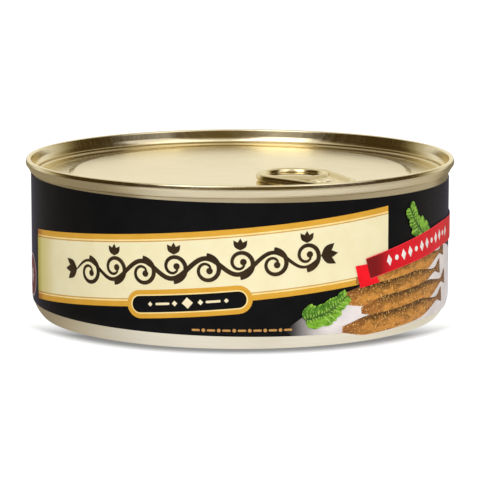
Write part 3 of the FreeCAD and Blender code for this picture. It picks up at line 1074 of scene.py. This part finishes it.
class Sheet:
    """Flat fields on the unrolled label, in millimetres, each a hair above the one before."""

    row = 0.45 * MM

    def __init__(self, layer: float, lift: float = 0.0015) -> None:
        """Start a sheet.

        Args:
            layer: Height of its first field above the paper, in millimetres.
            lift: How much higher each next field lies, in millimetres.
        """
        self.bm = bmesh.new()
        self.layer = layer
        self.lift = lift
        self.blade_map = self.bm.loops.layers.uv.new(BLADE_MAP)

    def spot(self, point: Point) -> bmesh.types.BMVert:
        """Add a point of the current field."""
        return self.bm.verts.new((point[0] * MM, -self.layer * MM, point[1] * MM))

    def field(self, outline: Iterable[Point]) -> None:
        """Add a filled outline, which may not cross itself."""
        face = self.bm.faces.new([self.spot(point) for point in outline])
        face.normal_update()
        if face.normal.y > 0:
            face.normal_flip()
        self.layer += self.lift

    def blade(
        self,
        spine: Callable[[float], Point],
        width: Callable[[float], float],
        steps: int,
        rows: int,
    ) -> None:
        """Add a long shape with a map along and across it.

        Args:
            spine: Point of the middle line at a share of its length.
            width: Half the shape's width at that share.
            steps: Divisions along it.
            rows: Divisions across it.
        """
        rungs = []
        for share in shares(steps):
            spot, ahead = Vector(spine(share)), Vector(spine(share + 0.01))
            heading = (ahead - spot).normalized()
            side = Vector((-heading.y, heading.x)) * width(share)
            rung = [spot + side * (2 * row / rows - 1) for row in range(rows + 1)]
            rungs.append([self.spot(tuple(point)) for point in rung])
        for step in range(steps):
            for row in range(rows):
                corners = ((step, row), (step + 1, row), (step + 1, row + 1), (step, row + 1))
                face = self.bm.faces.new([rungs[first][second] for first, second in corners])
                for loop, (first, second) in zip(face.loops, corners):
                    loop[self.blade_map].uv = (first / steps, second / rows - 0.5)
        self.layer += self.lift

    def mesh(self, name: str, column: float, corner: float) -> bpy.types.Mesh:
        """Cut the fields so that they can bend, and map them.

        Args:
            name: Name of the mesh.
            column: Width of a flat piece of the wall, in metres.
            corner: Height below which the paper bends in under the tin, in metres.

        Returns:
            The flat mesh, facing -Y.
        """
        many_sided = [face for face in self.bm.faces if len(face.verts) > 4]
        bmesh.ops.triangulate(self.bm, faces=many_sided)
        left = min(vertex.co.x for vertex in self.bm.verts)
        right = max(vertex.co.x for vertex in self.bm.verts)
        low = min(vertex.co.z for vertex in self.bm.verts)
        for number in range(math.ceil(left / column), math.floor(right / column) + 1):
            self.cut((number * column, 0.0, 0.0), (1.0, 0.0, 0.0))
        for number in range(int(max(0.0, corner - low) / self.row) + 1):
            self.cut((0.0, 0.0, corner - number * self.row), (0.0, 0.0, 1.0))
        print_map = self.bm.loops.layers.uv.new(PRINT_MAP)
        unit = MAP_UNIT * MM
        for face in self.bm.faces:
            for loop in face.loops:
                loop[print_map].uv = (loop.vert.co.x / unit, loop.vert.co.z / unit)
        mesh = bpy.data.meshes.new(name)
        self.bm.to_mesh(mesh)
        self.bm.free()
        return mesh

    def cut(self, spot: tuple, normal: tuple) -> None:
        """Cut every face along a plane."""
        geometry = self.bm.verts[:] + self.bm.edges[:] + self.bm.faces[:]
        plane = {"plane_co": spot, "plane_no": normal}
        bmesh.ops.bisect_plane(self.bm, geom=geometry, dist=WELD, **plane)


def polar(centre: Point, reach: float, turn: float) -> Point:
    """Point at a distance from a centre, in a direction in radians."""
    return centre[0] + reach * math.cos(turn), centre[1] + reach * math.sin(turn)


def arc(centre: Point, radius: float, start: float, end: float, steps: int = 12) -> list[Point]:
    """Points of an arc, from one angle to another in degrees."""
    turns = [math.radians(start + (end - start) * step / steps) for step in range(steps + 1)]
    return [polar(centre, radius, turn) for turn in turns]


def disc(centre: Point, radius: float, steps: int = 40) -> list[Point]:
    """Outline of a disc."""
    return arc(centre, radius, 0.0, 360.0, steps)[:-1]


def turned_about(points: Iterable[Point], centre: Point, angle: float) -> list[Point]:
    """Turn points about a centre by an angle in degrees."""
    cosine, sine = math.cos(math.radians(angle)), math.sin(math.radians(angle))
    moved = []
    for across, up in points:
        right, rise = across - centre[0], up - centre[1]
        across = centre[0] + right * cosine - rise * sine
        moved.append((across, centre[1] + right * sine + rise * cosine))
    return moved


def bar(centre: Point, length: float, height: float, angle: float = 0.0) -> list[Point]:
    """Outline of a bar with round ends."""
    radius, reach = height / 2, length / 2 - height / 2
    right = arc((centre[0] + reach, centre[1]), radius, -90.0, 90.0)
    left = arc((centre[0] - reach, centre[1]), radius, 90.0, 270.0)
    return turned_about(right + left, centre, angle)


def diamond(centre: Point, width: float, height: float, angle: float = 0.0) -> list[Point]:
    """Outline of a diamond with its points left, right, up and down."""
    across, up = width / 2, height / 2
    points = [(centre[0] + across, centre[1]), (centre[0], centre[1] + up)]
    points += [(centre[0] - across, centre[1]), (centre[0], centre[1] - up)]
    return turned_about(points, centre, angle)


def stroke(path: list[Point], width: Callable[[float], float]) -> list[Point]:
    """Outline of a pen stroke along a path.

    Args:
        path: Points of its middle line.
        width: Half its width at a share of its length.

    Returns:
        The outline.
    """
    left, right = [], []
    last = len(path) - 1
    for number, point in enumerate(path):
        before, after = Vector(path[max(number - 1, 0)]), Vector(path[min(number + 1, last)])
        heading = (after - before).normalized()
        side = Vector((-heading.y, heading.x)) * width(number / last)
        left.append(tuple(Vector(point) + side))
        right.append(tuple(Vector(point) - side))
    return left + right[::-1]


@dataclass
class Band:
    """The paper band round the tin, which carries all the print.

    Places on it are millimetres on the unrolled band: distances along it start at the middle of
    its front and grow to the right, and heights start at the ground.
    """

    radius: float  # radius of the paper's outer face, in metres
    corner_height: float  # height at which the wall bends into the lower corner, in metres
    corner_round: float  # radius of the paper's outer face there, in metres
    low: float = 3.3
    bend: float = 6.0  # height of the row of points between its edges
    high: float = 33.7
    tilt: float = math.radians(0.69)  # how far its edges are off level
    thickness: float = 0.12
    seam: float = -174.0  # where it starts, in degrees round the tin
    overlap: float = 9.0  # length of its end that is glued over its start
    lap_rise: float = 3.0  # length over which its end rises onto its start
    lap_lift: float = 1.05  # how high its end lies on its start, in thicknesses of the paper
    ink: float = 0.008  # thickness of a printed colour
    wrapped: ShapeRule = field(default_factory=wrapped_rule)

    def arc_length(self, degrees: float) -> float:
        """Length along the band of a turn about the tin."""
        return math.radians(degrees) * self.radius / MM

    def edge(self, along: float, height: float) -> float:
        """Height of the band's edge, which runs a little off level."""
        across = self.radius / MM * math.sin(along * MM / self.radius)
        return height - math.tan(self.tilt) * across

    def wrap(self, name: str, drawing: bpy.types.Mesh, finish: Print, thickness: float) -> None:
        """Bend a flat drawing round the tin and fix it there as one piece.

        Args:
            name: Name of the piece.
            drawing: The flat drawing.
            finish: Its finish.
            thickness: Thickness that it gets.
        """
        piece = self.wrapped.make(
            name,
            drawing,
            Radius=self.radius,
            Corner_round=self.corner_round,
            Corner_height=self.corner_height,
            Thickness=thickness * MM,
            Finish=finish.material(),
        )
        finish_piece(piece, Node.LABEL if name == "label_band" else None)

    def apply(self, name: str, sheet: Sheet, finish: Print, thickness: float = 0.0) -> None:
        """Put a sheet on the tin as one piece, as thick as ink unless it says otherwise."""
        column = math.radians(1.0) * self.radius
        self.wrap(name, sheet.mesh(name, column, self.corner_height), finish, thickness or self.ink)

    def build(self) -> None:
        """Make the band, with its last stretch glued over its first."""
        sheet = Sheet(-self.thickness, 0.0)
        start = self.arc_length(self.seam)
        end = start + self.arc_length(360.0) + self.overlap
        lap = end - self.overlap
        count = round((end - start) / self.arc_length(1.0))
        rungs = []
        for number in range(count + 1):
            along = start + (end - start) * number / count
            lift = self.thickness * self.lap_lift * smooth_step(along, lap - self.lap_rise, lap)
            sheet.layer = -self.thickness + lift
            heights = (self.edge(along, self.low), self.bend, self.edge(along, self.high))
            rungs.append([sheet.spot((along, height)) for height in heights])
        for first, second in zip(rungs, rungs[1:]):
            for row in range(2):
                sheet.bm.faces.new((first[row], second[row], second[row + 1], first[row + 1]))
        self.apply("label_band", sheet, BLACK, self.thickness)


@dataclass
class Motif:
    """One part of the print, with its sizes and places in millimetres on the unrolled band."""

    band: Band  # the paper that it is printed on
    layer: float = 0.018  # height of each layer of print above the one under it
    incline: float = 5.0  # how far the front's main parts climb to the right, in degrees

    def slope(self, along: float, height: float) -> Point:
        """A point on the incline, from the height at which its line crosses the front's middle."""
        return along, height + math.tan(math.radians(self.incline)) * along

    def sheet(self, number: int, *outlines: Iterable[Point]) -> Sheet:
        """Draw outlines on a numbered layer of the print."""
        sheet = Sheet(number * self.layer)
        for outline in outlines:
            sheet.field(outline)
        return sheet

    def lay(self, name: str, finish: Print, number: int, outline: Iterable[Point]) -> None:
        """Print one outline as a piece on a numbered layer."""
        self.band.apply(name, self.sheet(number, outline), finish)


@dataclass
class Panel(Motif):
    """The long inclined panel, with its gold border and two fine lines."""

    left: float = -62.4
    right: float = 36.95
    low: float = 11.38
    high: float = 27.95
    border: float = 1.25
    light_line: float = 0.27 * 1.3
    dark_line: float = 0.27

    def outline(self, inset: float) -> list[Point]:
        """Outline of the panel, drawn in from its long edges."""
        low, high = self.low + inset, self.high - inset
        corners = ((self.left, low), (self.right, low), (self.right, high), (self.left, high))
        return [self.slope(along, height) for along, height in corners]

    def build(self) -> None:
        """Print the panel's colours, each inside the one before."""
        inset = 0.0
        colours = (
            ("panel_border", GOLD, self.border),
            ("panel_light_line", LIGHT_LINE, self.light_line),
            ("panel_dark_line", DARK_LINE, self.dark_line),
            ("panel_cream", CREAM, 0.0),
        )
        for number, (name, finish, width) in enumerate(colours, start=1):
            self.lay(name, finish, number, self.outline(inset))
            inset += width


@dataclass
class Ornament(Motif):
    """The scrolled ornament that runs along the panel's middle."""

    start: float = -42.0  # left end of its stem
    end: float = 18.6  # right end of its stem
    middle: float = 19.7  # height of the stem's middle line
    wave: float = 2.1  # height of the stem's waves
    period: float = 15.15  # length of a wave
    tendrils: int = 8  # how many tendrils grow from the stem
    curl: float = 3.3  # radius of a tendril at its root
    curl_turns: float = 1.3  # turns that a tendril makes
    curl_shrink: float = 0.78  # share of that radius that it loses on the way to its tip
    # where its centre lies from its root, to the right and away from the stem
    curl_middle: Point = (0.4, 2.6)
    berry: float = 0.75  # radius of the dot at its tip
    fan: tuple = (-34.0, 0.0, 34.0)  # how far each petal at the stem's ends leans, in degrees
    fan_petal: Point = (4.2, 0.85)  # length and half the width of such a petal
    bud: tuple = (125.0, 90.0, 55.0)  # direction of each petal of a bud, in degrees
    bud_petal: Point = (2.7, 0.6)  # length and half the width of such a petal

    def stem(self, along: float) -> Point:
        """Point of the waving stem."""
        wave = self.wave * math.sin(math.tau * (along - self.start) / self.period)
        return self.slope(along, self.middle + wave)

    def build(self) -> None:
        """Print the stem, its tendrils and the fans of petals at its ends."""
        steps, length = 160, self.end - self.start
        path = [self.stem(self.start + length * step / steps) for step in range(steps + 1)]
        stem = stroke(path, lambda share: 0.15 + 0.4 * math.sin(math.pi * share) ** 0.5)
        sheet = self.sheet(5, stem)
        for number in range(self.tendrils):
            along = self.start + self.period * (number + 0.5) / 2
            self.tendril(sheet, self.stem(along), 1 if number % 2 else -1)
        for along, heading in ((self.start, 185.0), (self.end, 5.0)):
            for lean in self.fan:
                self.petal(sheet, self.stem(along), heading + lean, *self.fan_petal)
        self.band.apply("ornament", sheet, SEPIA)

    def tendril(self, sheet: Sheet, root: Point, upward: int) -> None:
        """Add a curling tendril to the ornament.

        Args:
            sheet: The sheet to draw on.
            root: Point of the stem that it grows from.
            upward: 1 for a tendril with a bud above the stem, -1 for a bare one below it.
        """
        centre = (root[0] + self.curl_middle[0], root[1] + upward * self.curl_middle[1])
        path = []
        for share in shares(40):
            turn = math.radians(-90.0 * upward) + upward * share * self.curl_turns * math.tau
            path.append(polar(centre, self.curl * (1 - self.curl_shrink * share), turn))
        sheet.field(stroke(path, lambda share: 0.58 - 0.36 * share))
        sheet.field(disc(path[-1], self.berry, 16))
        for heading in self.bud if upward > 0 else ():
            root = (centre[0], centre[1] + self.curl - 0.4)
            self.petal(sheet, root, heading, *self.bud_petal)

    def petal(self, sheet: Sheet, root: Point, heading: float, length: float, half: float) -> None:
        """Add a pointed leaf that grows from a point in a direction in degrees."""
        steps, turn = 10, math.radians(heading)
        path = [polar(root, length * step / steps, turn) for step in range(steps + 1)]
        sheet.field(stroke(path, lambda share: 0.02 + half * math.sin(math.pi * share) ** 1.2))


@dataclass
class Cartouche(Motif):
    """The black bar with a gold rim that sits on the panel's lower border."""

    centre: Point = (-11.9, 10.85)
    length: float = 29.6  # length of the bar with its rim
    height: float = 6.5  # height of the bar with its rim
    rim: float = 1.05  # width of the gold rim
    line: float = 1.35  # width of the rim with the light line inside it
    middle: float = 2.6  # width of the diamond in the middle
    # distance from the middle and width of the other diamonds
    diamonds: tuple = ((3.0, 1.3), (8.9, 1.1))
    dash_reach: float = 5.9  # distance of the dashes from the middle
    dash: Point = (3.4, 0.55)  # length and width of a dash

    def spot(self, reach: float) -> Point:
        """Point of the bar's middle line at a distance from its centre."""
        level = [(self.centre[0] + reach, self.centre[1])]
        return turned_about(level, self.centre, self.incline)[0]

    def build(self) -> None:
        """Print the bar and, on it, a row of diamonds and dashes."""
        rims = (
            ("cartouche_rim", GOLD, 0.0),
            ("cartouche_line", LIGHT_LINE, self.rim),
            ("cartouche_fill", BLACK, self.line),
        )
        for number, (name, finish, inset) in enumerate(rims, start=5):
            length, height = self.length - 2 * inset, self.height - 2 * inset
            self.lay(name, finish, number, bar(self.centre, length, height, self.incline))
        sheet = self.sheet(8, diamond(self.centre, self.middle, self.middle, self.incline))
        for side in (-1, 1):
            for reach, width in self.diamonds:
                sheet.field(diamond(self.spot(side * reach), width, width, self.incline))
            sheet.field(bar(self.spot(side * self.dash_reach), *self.dash, self.incline))
        self.band.apply("cartouche_mark", sheet, IVORY)


@dataclass
class Motto(Motif):
    """The fine gold row of beads and dashes under the cartouche."""

    left: float = -10.0
    right: float = 10.9
    level: float = 4.75
    count: int = 13
    bead: float = 0.42
    dash: Point = (1.9, 0.5)

    def build(self) -> None:
        """Print dashes and beads in turn."""
        sheet = self.sheet(1)
        for number in range(self.count):
            spot = (self.left + (self.right - self.left) * number / (self.count - 1), self.level)
            sheet.field(disc(spot, self.bead, 16) if number % 2 else bar(spot, *self.dash))
        self.band.apply("motto", sheet, OLD_GOLD)


@dataclass
class Picture(Motif):
    """The picture: a pale dish with level rows of golden fish and leafy sprigs."""

    dish_middle: Point = (46.0, 3.0)  # middle of the dish's foot
    dish_half: float = 36.0  # half the dish's width
    dish_rise: float = 15.0  # height of its outline above its foot
    dish_skew: float = 6.5  # how much higher the outline is at its right and lower at its left
    tail: Point = (63.5, 12.4)  # tip of the upper fish's tail
    pitch: float = 3.55  # distance from each fish down to the next
    fish_length: float = 36.0  # length of the shorter fish
    fish_count: int = 4  # how many fish lie on the dish
    fish_heading: float = 185.0  # direction from a fish's tail to its snout, in degrees
    fish_half: float = 2.35  # half a fish's height
    leaf: Point = (3.8, 2.6)  # length and width of a leaf
    leaf_spread: float = 0.95  # how far the leaves stand out from the stem, in radians
    leaf_lift: float = 0.003  # how much higher each next leaf lies
    leaf_ink: float = 0.001  # thickness of a leaf's print
    # for each sprig its name, the ends and the bend of its stem, its number of leaves and its
    # seed
    sprigs: tuple = (
        ("sprig_low", (14.6, 6.8), (24.6, 11.4), -1.0, 34, 3),
        ("sprig_high", (53.0, 21.6), (44.6, 29.6), 0.9, 26, 8),
    )

    def dish(self) -> list[Point]:
        """Outline of the dish, whose foot follows the band's lower edge."""
        outline = []
        for number in range(29):
            turn = math.radians(172.0 - 6.0 * number)
            rise = (self.dish_rise + self.dish_skew * math.cos(turn)) * math.sin(turn)
            across = self.dish_middle[0] + self.dish_half * math.cos(turn)
            outline.append((across, self.dish_middle[1] + rise))
        for along in range(80, 8, -4):
            outline.append((along, self.band.edge(along, self.band.low) + 0.02))
        return outline

    def build(self) -> None:
        """Print the dish, the fish and the sprigs."""
        self.lay("picture_dish", DISH, 1, self.dish())
        sheet = Sheet(3 * self.layer, 0.004)
        for number in range(self.fish_count):
            row, shift = divmod(number, 2)
            along = self.tail[0] - 3.0 * shift + 1.5 * row
            tail = self.slope(along, self.tail[1] - self.pitch * number)
            self.fish(sheet, Vector(tail), self.fish_length + 2.0 * shift)
        self.band.apply("picture_fish", sheet, FISH)
        rule = sprig_rule()
        for sprig in self.sprigs:
            self.sprig(rule, *sprig)

    def fish(self, sheet: Sheet, root: Vector, length: float) -> None:
        """Add one fish, from its forked tail to its snout.

        Args:
            sheet: The sheet to draw on.
            root: Tip of its tail.
            length: Its length.
        """
        heading = math.radians(self.fish_heading)
        ahead = Vector((math.cos(heading), math.sin(heading)))
        side = Vector((-ahead.y, ahead.x))

        def spine(share: float) -> Point:
            """Point of the fish's middle line, which sags a little."""
            sag = side * (0.5 * math.sin(math.pi * share))
            return tuple(root + ahead * (length * share) + sag)

        def width(share: float) -> float:
            """Half the fish's height: forked tail, thin wrist, full belly and pointed snout."""
            tail = 0.62 * smooth_step(share, 0.11, 0.0)
            belly = smooth_step(share, 0.06, 0.36) * smooth_step(share, 1.08, 0.8)
            return self.fish_half * (0.14 + tail + 0.86 * belly)

        sheet.blade(spine, width, 40, 8)

    def sprig(
        self,
        rule: ShapeRule,
        name: str,
        start: Point,
        end: Point,
        bend: float,
        leaves: int,
        seed: int,
    ) -> None:
        """Print one sprig of round leaves.

        Args:
            rule: Rule that sets the leaves along a stem.
            name: Name of the sprig.
            start: Foot of its stem.
            end: Tip of its stem.
            bend: How far the stem bows to its left.
            leaves: Number of its leaves.
            seed: Seed for how they lie.
        """
        first, last = Vector(start), Vector(end)
        side = Vector((-(last - first).y, (last - first).x)).normalized()
        points = []
        for share in shares(12):
            spot = first.lerp(last, share) + side * (bend * math.sin(math.pi * share))
            points.append(Vector((spot.x * MM, -10 * self.layer * MM, spot.y * MM)))
        flat = rule.make(
            f"{name}_flat",
            path_mesh(name, points),
            Leaves=leaves,
            Leaf_length=self.leaf[0] * MM,
            Leaf_width=self.leaf[1] * MM,
            Spread=self.leaf_spread,
            Lift=self.leaf_lift * MM,
            Seed=seed,
        )
        self.band.wrap(name, flat.data, LEAF, self.leaf_ink)
        bpy.data.objects.remove(flat)


@dataclass
class Ribbon(Motif):
    """The red ribbon that crosses the picture, with its folded tail."""

    left: float = 30.2  # left end of its long band
    right: float = 96.0  # right end of its long band
    crest: float = 24.6  # height of its upper edge where it runs level
    crest_start: float = 62.0  # where its upper edge becomes level
    run: float = 31.8  # length of its falling part
    drop: float = 4.9  # how far its upper edge falls over that length
    droop: float = 1.35  # how late the fall comes: 1 for an even one, more for a curved one
    width: float = 4.85  # width of the band at its left end
    widening: float = 0.9  # how much wider it becomes to the right
    widening_run: Point = (31.0, 55.0)  # where it starts and ends widening
    skew: float = 1.3  # how far its lower left corner stands in
    hem: float = 0.16  # width of its bright edge
    # corners of its folded tail
    tail: tuple = ((27.3, 18.2), (30.9, 18.4), (33.0, 15.9), (34.3, 13.9), (28.7, 13.05))
    marks: int = 12  # how many marks lie on it
    first_mark: float = 37.2  # where the first mark lies
    mark_pitch: float = 2.45  # distance from each mark to the next
    dot: float = 0.62  # radius of a dot
    mark: Point = (1.7, 2.7)  # width and height of a diamond

    def upper(self, along: float) -> float:
        """Height of the ribbon's upper edge."""
        share = max((self.crest_start - along) / self.run, 0.0)
        return self.crest - self.drop * share**self.droop

    def lower(self, along: float) -> float:
        """Height of the ribbon's lower edge."""
        wider = self.widening * smooth_step(along, *self.widening_run)
        return self.upper(along) - self.width - wider

    def outline(self, inset: float) -> list[Point]:
        """Outline of the long band, drawn in from its long edges."""
        steps = 48
        bottom, top = [], []
        for step in range(steps + 1):
            along = self.left + (self.right - self.left) * step / steps
            bottom.append((along + self.skew * (1 - step / steps), self.lower(along) + inset))
            top.append((along, self.upper(along) - inset))
        return bottom + top[::-1]

    def build(self) -> None:
        """Print the tail, the bright edge, the band and a row of diamonds and dots on it."""
        self.lay("ribbon_tail", TAIL_RED, 14, self.tail)
        self.lay("ribbon_edge", RED_EDGE, 15, self.outline(0.0))
        self.lay("ribbon", RED, 16, self.outline(self.hem))
        sheet = self.sheet(17)
        for number in range(self.marks):
            along = self.first_mark + self.mark_pitch * number
            spot = (along, (self.upper(along) + self.lower(along)) / 2)
            lean = math.degrees(math.atan2(self.upper(along + 1) - self.upper(along - 1), 2.0))
            if number % 3 == 1:
                sheet.field(disc(spot, self.dot, 20))
            else:
                sheet.field(diamond(spot, *self.mark, lean))
        self.band.apply("ribbon_mark", sheet, WHITE)


@dataclass
class Medallion(Motif):
    """The plain round medallion on the label's left side, with a star in it."""

    centre: Point = (-70.0, 10.4)
    radius: float = 5.2
    rim: float = 0.45
    points: int = 8
    star_outer: float = 2.6
    star_inner: float = 1.15

    def build(self) -> None:
        """Print the rim, the disc and the star."""
        star = []
        for number in range(2 * self.points):
            reach = self.star_inner if number % 2 else self.star_outer
            star.append(polar(self.centre, reach, math.radians(180 / self.points * number + 90)))
        colours = (
            ("medallion_rim", disc(self.centre, self.radius), SILVER),
            ("medallion", disc(self.centre, self.radius - self.rim), MAROON),
            ("medallion_star", star, SILVER),
        )
        for number, (name, outline, finish) in enumerate(colours, start=1):
            self.lay(name, finish, number, outline)


@dataclass
class BackPanel(Motif):
    """The plain panel of ruled lines on the back of the label."""

    left: float = 108.0
    right: float = 148.0
    low: float = 7.0
    high: float = 30.0
    border: float = 0.4
    margin: float = 3.0
    top_margin: float = 2.6
    rules: int = 13
    pitch: float = 1.5
    rule_width: float = 0.42
    seed: int = 4

    def outline(self, inset: float) -> list[Point]:
        """Outline of the panel, drawn in from its edges."""
        left, right = self.left + inset, self.right - inset
        low, high = self.low + inset, self.high - inset
        return [(left, low), (right, low), (right, high), (left, high)]

    def build(self) -> None:
        """Print the border, the panel and its rules, which differ in length."""
        self.lay("back_frame", GOLD, 1, self.outline(0.0))
        self.lay("back_panel", CREAM, 2, self.outline(self.border))
        sheet = self.sheet(3)
        chance = random.Random(self.seed)
        longest = self.right - self.left - 2 * self.margin
        for row in range(self.rules):
            length = longest * chance.uniform(0.72, 1.0)
            level = self.high - self.top_margin - self.pitch * row
            sheet.field(bar((self.left + self.margin + length / 2, level), length, self.rule_width))
        self.band.apply("back_rules", sheet, SEPIA)


# --------------------------------------------------------------------------- studio


@dataclass(frozen=True)
class Softbox:
    """A soft lamp that faces the tin."""

    name: str
    azimuth: float  # its direction in degrees, 0 at the front and growing to the right
    elevation: float  # its height above the tin in degrees
    distance: float  # its distance from the tin
    width: float
    height: float
    radiance: float  # how bright its face is
    mirrored: bool = True  # whether metal mirrors it

    def hang(self, target: Vector) -> None:
        """Put the lamp up, facing a point."""
        lamp = bpy.data.lights.new(self.name, "AREA")
        lamp.shape = "RECTANGLE"
        lamp.size, lamp.size_y = self.width, self.height
        lamp.energy = self.radiance * math.pi * self.width * self.height
        turn, rise = math.radians(self.azimuth), math.radians(self.elevation)
        out = math.cos(rise)
        away = Vector((math.sin(turn) * out, -math.cos(turn) * out, math.sin(rise)))
        holder = bpy.data.objects.new(self.name, lamp)
        holder.location = target + away * self.distance
        holder.rotation_euler = away.to_track_quat("Z", "Y").to_euler()
        holder.visible_camera = False
        holder.visible_glossy = self.mirrored
        bpy.context.scene.collection.objects.link(holder)


@dataclass
class Studio:
    """Pale floor, white backdrop, soft lamps and the camera."""

    centre: Vector
    ground: float
    floor_half: float = 3.0  # half the floor's width
    shadow_reach: float = 7.5 * MM  # how far the tin's close shadow reaches over the floor
    camera_back: float = 0.69163  # how far the camera stands in front of the tin's axis
    camera_up: float = 0.13058  # height of the camera above the floor
    camera_dip: float = 9.31  # how far the camera looks down, in degrees
    lens: float = 218.55  # focal length, in millimetres
    sensor: float = 36.0  # width of the sensor, in millimetres
    softboxes: tuple = (
        Softbox("key", 10.0, 18.0, 1.0, 1.1, 0.6, 1.85, mirrored=False),
        Softbox("front_left", -29.0, 47.0, 0.9, 0.46, 0.8, 2.1),
        Softbox("front_right", 58.0, 46.0, 0.9, 0.54, 0.9, 1.0),
    )

    def build(self) -> None:
        """Make the floor, the surroundings, the lamps and the camera."""
        self.lay_floor()
        self.light_room()
        for softbox in self.softboxes:
            softbox.hang(self.centre)
        self.place_camera()
        log.info("studio: floor, room, %d softboxes and camera", len(self.softboxes))

    def floor_seen(self, nodes: Nodes, back: Socket) -> Socket:
        """Brightness of the floor to the camera: white, with the close shadow before the tin.

        Args:
            nodes: The tree to add to.
            back: Distance behind the tin's axis.

        Returns:
            The socket that holds the brightness.
        """
        reach = {"Distance": self.shadow_reach}
        near = nodes.get("ShaderNodeAmbientOcclusion", reach, "AO", samples=8)
        beside = nodes.ramp(back, -0.04, -0.012, 0.0, 1.2)
        return nodes.greater(nodes.ramp(near, 0.45, 0.95, 0.22, 1.2), beside)

    def floor_mirrored(self, nodes: Nodes, side: Socket, back: Socket) -> Socket:
        """Brightness of the floor to metal that mirrors it: dim behind and at the right.

        Args:
            nodes: The tree to add to.
            side: Distance to the right of the tin's axis.
            back: Distance behind the tin's axis.

        Returns:
            The socket that holds the brightness.
        """
        behind = nodes.ramp(nodes.math("MULTIPLY_ADD", side, -0.8, back), -0.045, 0.03, 0.97, 0.27)
        right = nodes.ramp(side, 0.02, 0.09, 1.0, 0.58)
        far = nodes.ramp(back, -0.26, -0.1, 0.68, 1.0)
        return nodes.times(behind, right, far)

    def lay_floor(self) -> None:
        """Lay the white floor, which keeps only the tin's close shadow."""
        half = self.floor_half
        bm = bmesh.new()
        corners = ((-half, -half), (half, -half), (half, half), (-half, half))
        bm.faces.new([bm.verts.new((across, along, self.ground)) for across, along in corners])
        draft = Draft("studio_floor")
        nodes = draft.nodes
        place = nodes.get("ShaderNodeTexCoord", result="Object")
        colour = nodes.mix(nodes.noise(place, 3.0), (0.90, 0.90, 0.90), (0.92, 0.92, 0.92))
        draft.dress({"Base Color": colour, "Roughness": 0.9, "Specular IOR Level": 0.1})
        path = nodes.add("ShaderNodeLightPath").outputs
        camera = path["Is Camera Ray"]
        side, back, _ = nodes.axes(place)
        shadow = self.floor_seen(nodes, back)
        mirrored = self.floor_mirrored(nodes, side, back)
        glow = nodes.math("MULTIPLY_ADD", camera, nodes.minus(shadow, mirrored), mirrored)
        plain = nodes.greater(nodes.ramp(mirrored, 0.2, 0.85), camera)
        tint = nodes.mix(plain, (1.0, 0.86, 0.62), (1.0, 1.0, 1.0))
        white = nodes.get("ShaderNodeEmission", {"Color": tint, "Strength": glow})
        seen = nodes.math("MINIMUM", nodes.plus(camera, path["Is Glossy Ray"]), 1.0)
        share = nodes.times(seen, 0.85)
        both = nodes.get("ShaderNodeMixShader", {0: share, 1: draft.shader.outputs[0], 2: white})
        nodes.fill(draft.material.node_tree.nodes["Material Output"], {"Surface": both})
        mesh_piece("studio_floor", bm, draft.material)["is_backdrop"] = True

    def light_room(self) -> None:
        """Light the room: white behind the tin and to the camera, dim in front of it."""
        world = bpy.data.worlds.new("studio_room")
        world.use_nodes = True
        bpy.context.scene.world = world
        nodes = Nodes(world.node_tree)
        side, back, up = nodes.axes(nodes.get("ShaderNodeTexCoord", result="Generated"))
        behind = nodes.ramp(nodes.math("MULTIPLY_ADD", up, -0.6, back), 0.1, 0.75)
        slope = nodes.ramp(nodes.plus(back, up), -0.42, 0.22, 0.12, 0.8)
        flank = nodes.ramp(nodes.times(side, side), 0.2, 0.5, 1.0, 0.06)
        level = nodes.greater(behind, nodes.times(slope, flank))
        seen = nodes.get("ShaderNodeLightPath", result="Is Camera Ray")
        share = nodes.greater(nodes.greater(level, 0.05), seen)
        warm = nodes.join(share, nodes.math("POWER", share, 1.17), nodes.math("POWER", share, 1.75))
        nodes.fill(world.node_tree.nodes["Background"], {"Color": warm})

    def place_camera(self) -> None:
        """Stand the camera in front of the tin, looking a little down."""
        camera = bpy.data.cameras.new("camera")
        camera.lens, camera.sensor_width = self.lens, self.sensor
        holder = bpy.data.objects.new("camera", camera)
        centre, height = self.centre, self.ground + self.camera_up
        holder.location = (centre.x, centre.y - self.camera_back, height)
        holder.rotation_euler = (math.radians(90 - self.camera_dip), 0.0, 0.0)
        bpy.context.scene.collection.objects.link(holder)
        bpy.context.scene.camera = holder


def main() -> None:
    """Build the tin and its studio, piece by piece."""
    logging.basicConfig(level=logging.INFO, format="%(name)s: %(message)s")
    bpy.context.scene.view_settings.view_transform = "Standard"
    low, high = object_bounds()
    middle = Vector(((low[0] + high[0]) / 2, (low[1] + high[1]) / 2, (low[2] + high[2]) / 2))
    Studio(middle, low[2]).build()

    _, can_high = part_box(Node.CAN.value)
    _, lid_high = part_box(Node.LID.value)
    tab_low, tab_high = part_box(Node.TAB.value)
    _, label_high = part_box(Node.LABEL.value)
    turned = turned_rule()
    body = CanBody(wall=can_high.x, top=can_high.z)
    body.build(turned)
    lid = Lid(seam=lid_high.x, top=lid_high.z, wall=can_high.x)
    lid.build(turned)
    panel = lid.top - lid.panel_depth
    tab = PullTab(tab_low.z, tab_high.z, panel, lid.rim_outer() - lid.score_inset)
    tab.build()
    tab.build_rivet(turned)
    paper = label_high.x - can_high.x
    band = Band(label_high.x, body.corner_height(), body.corner_round + paper)
    band.build()
    for motif in (Panel, Ornament, Cartouche, Motto, Picture, Ribbon, Medallion, BackPanel):
        motif(band).build()


if __name__ == "__main__":
    main()
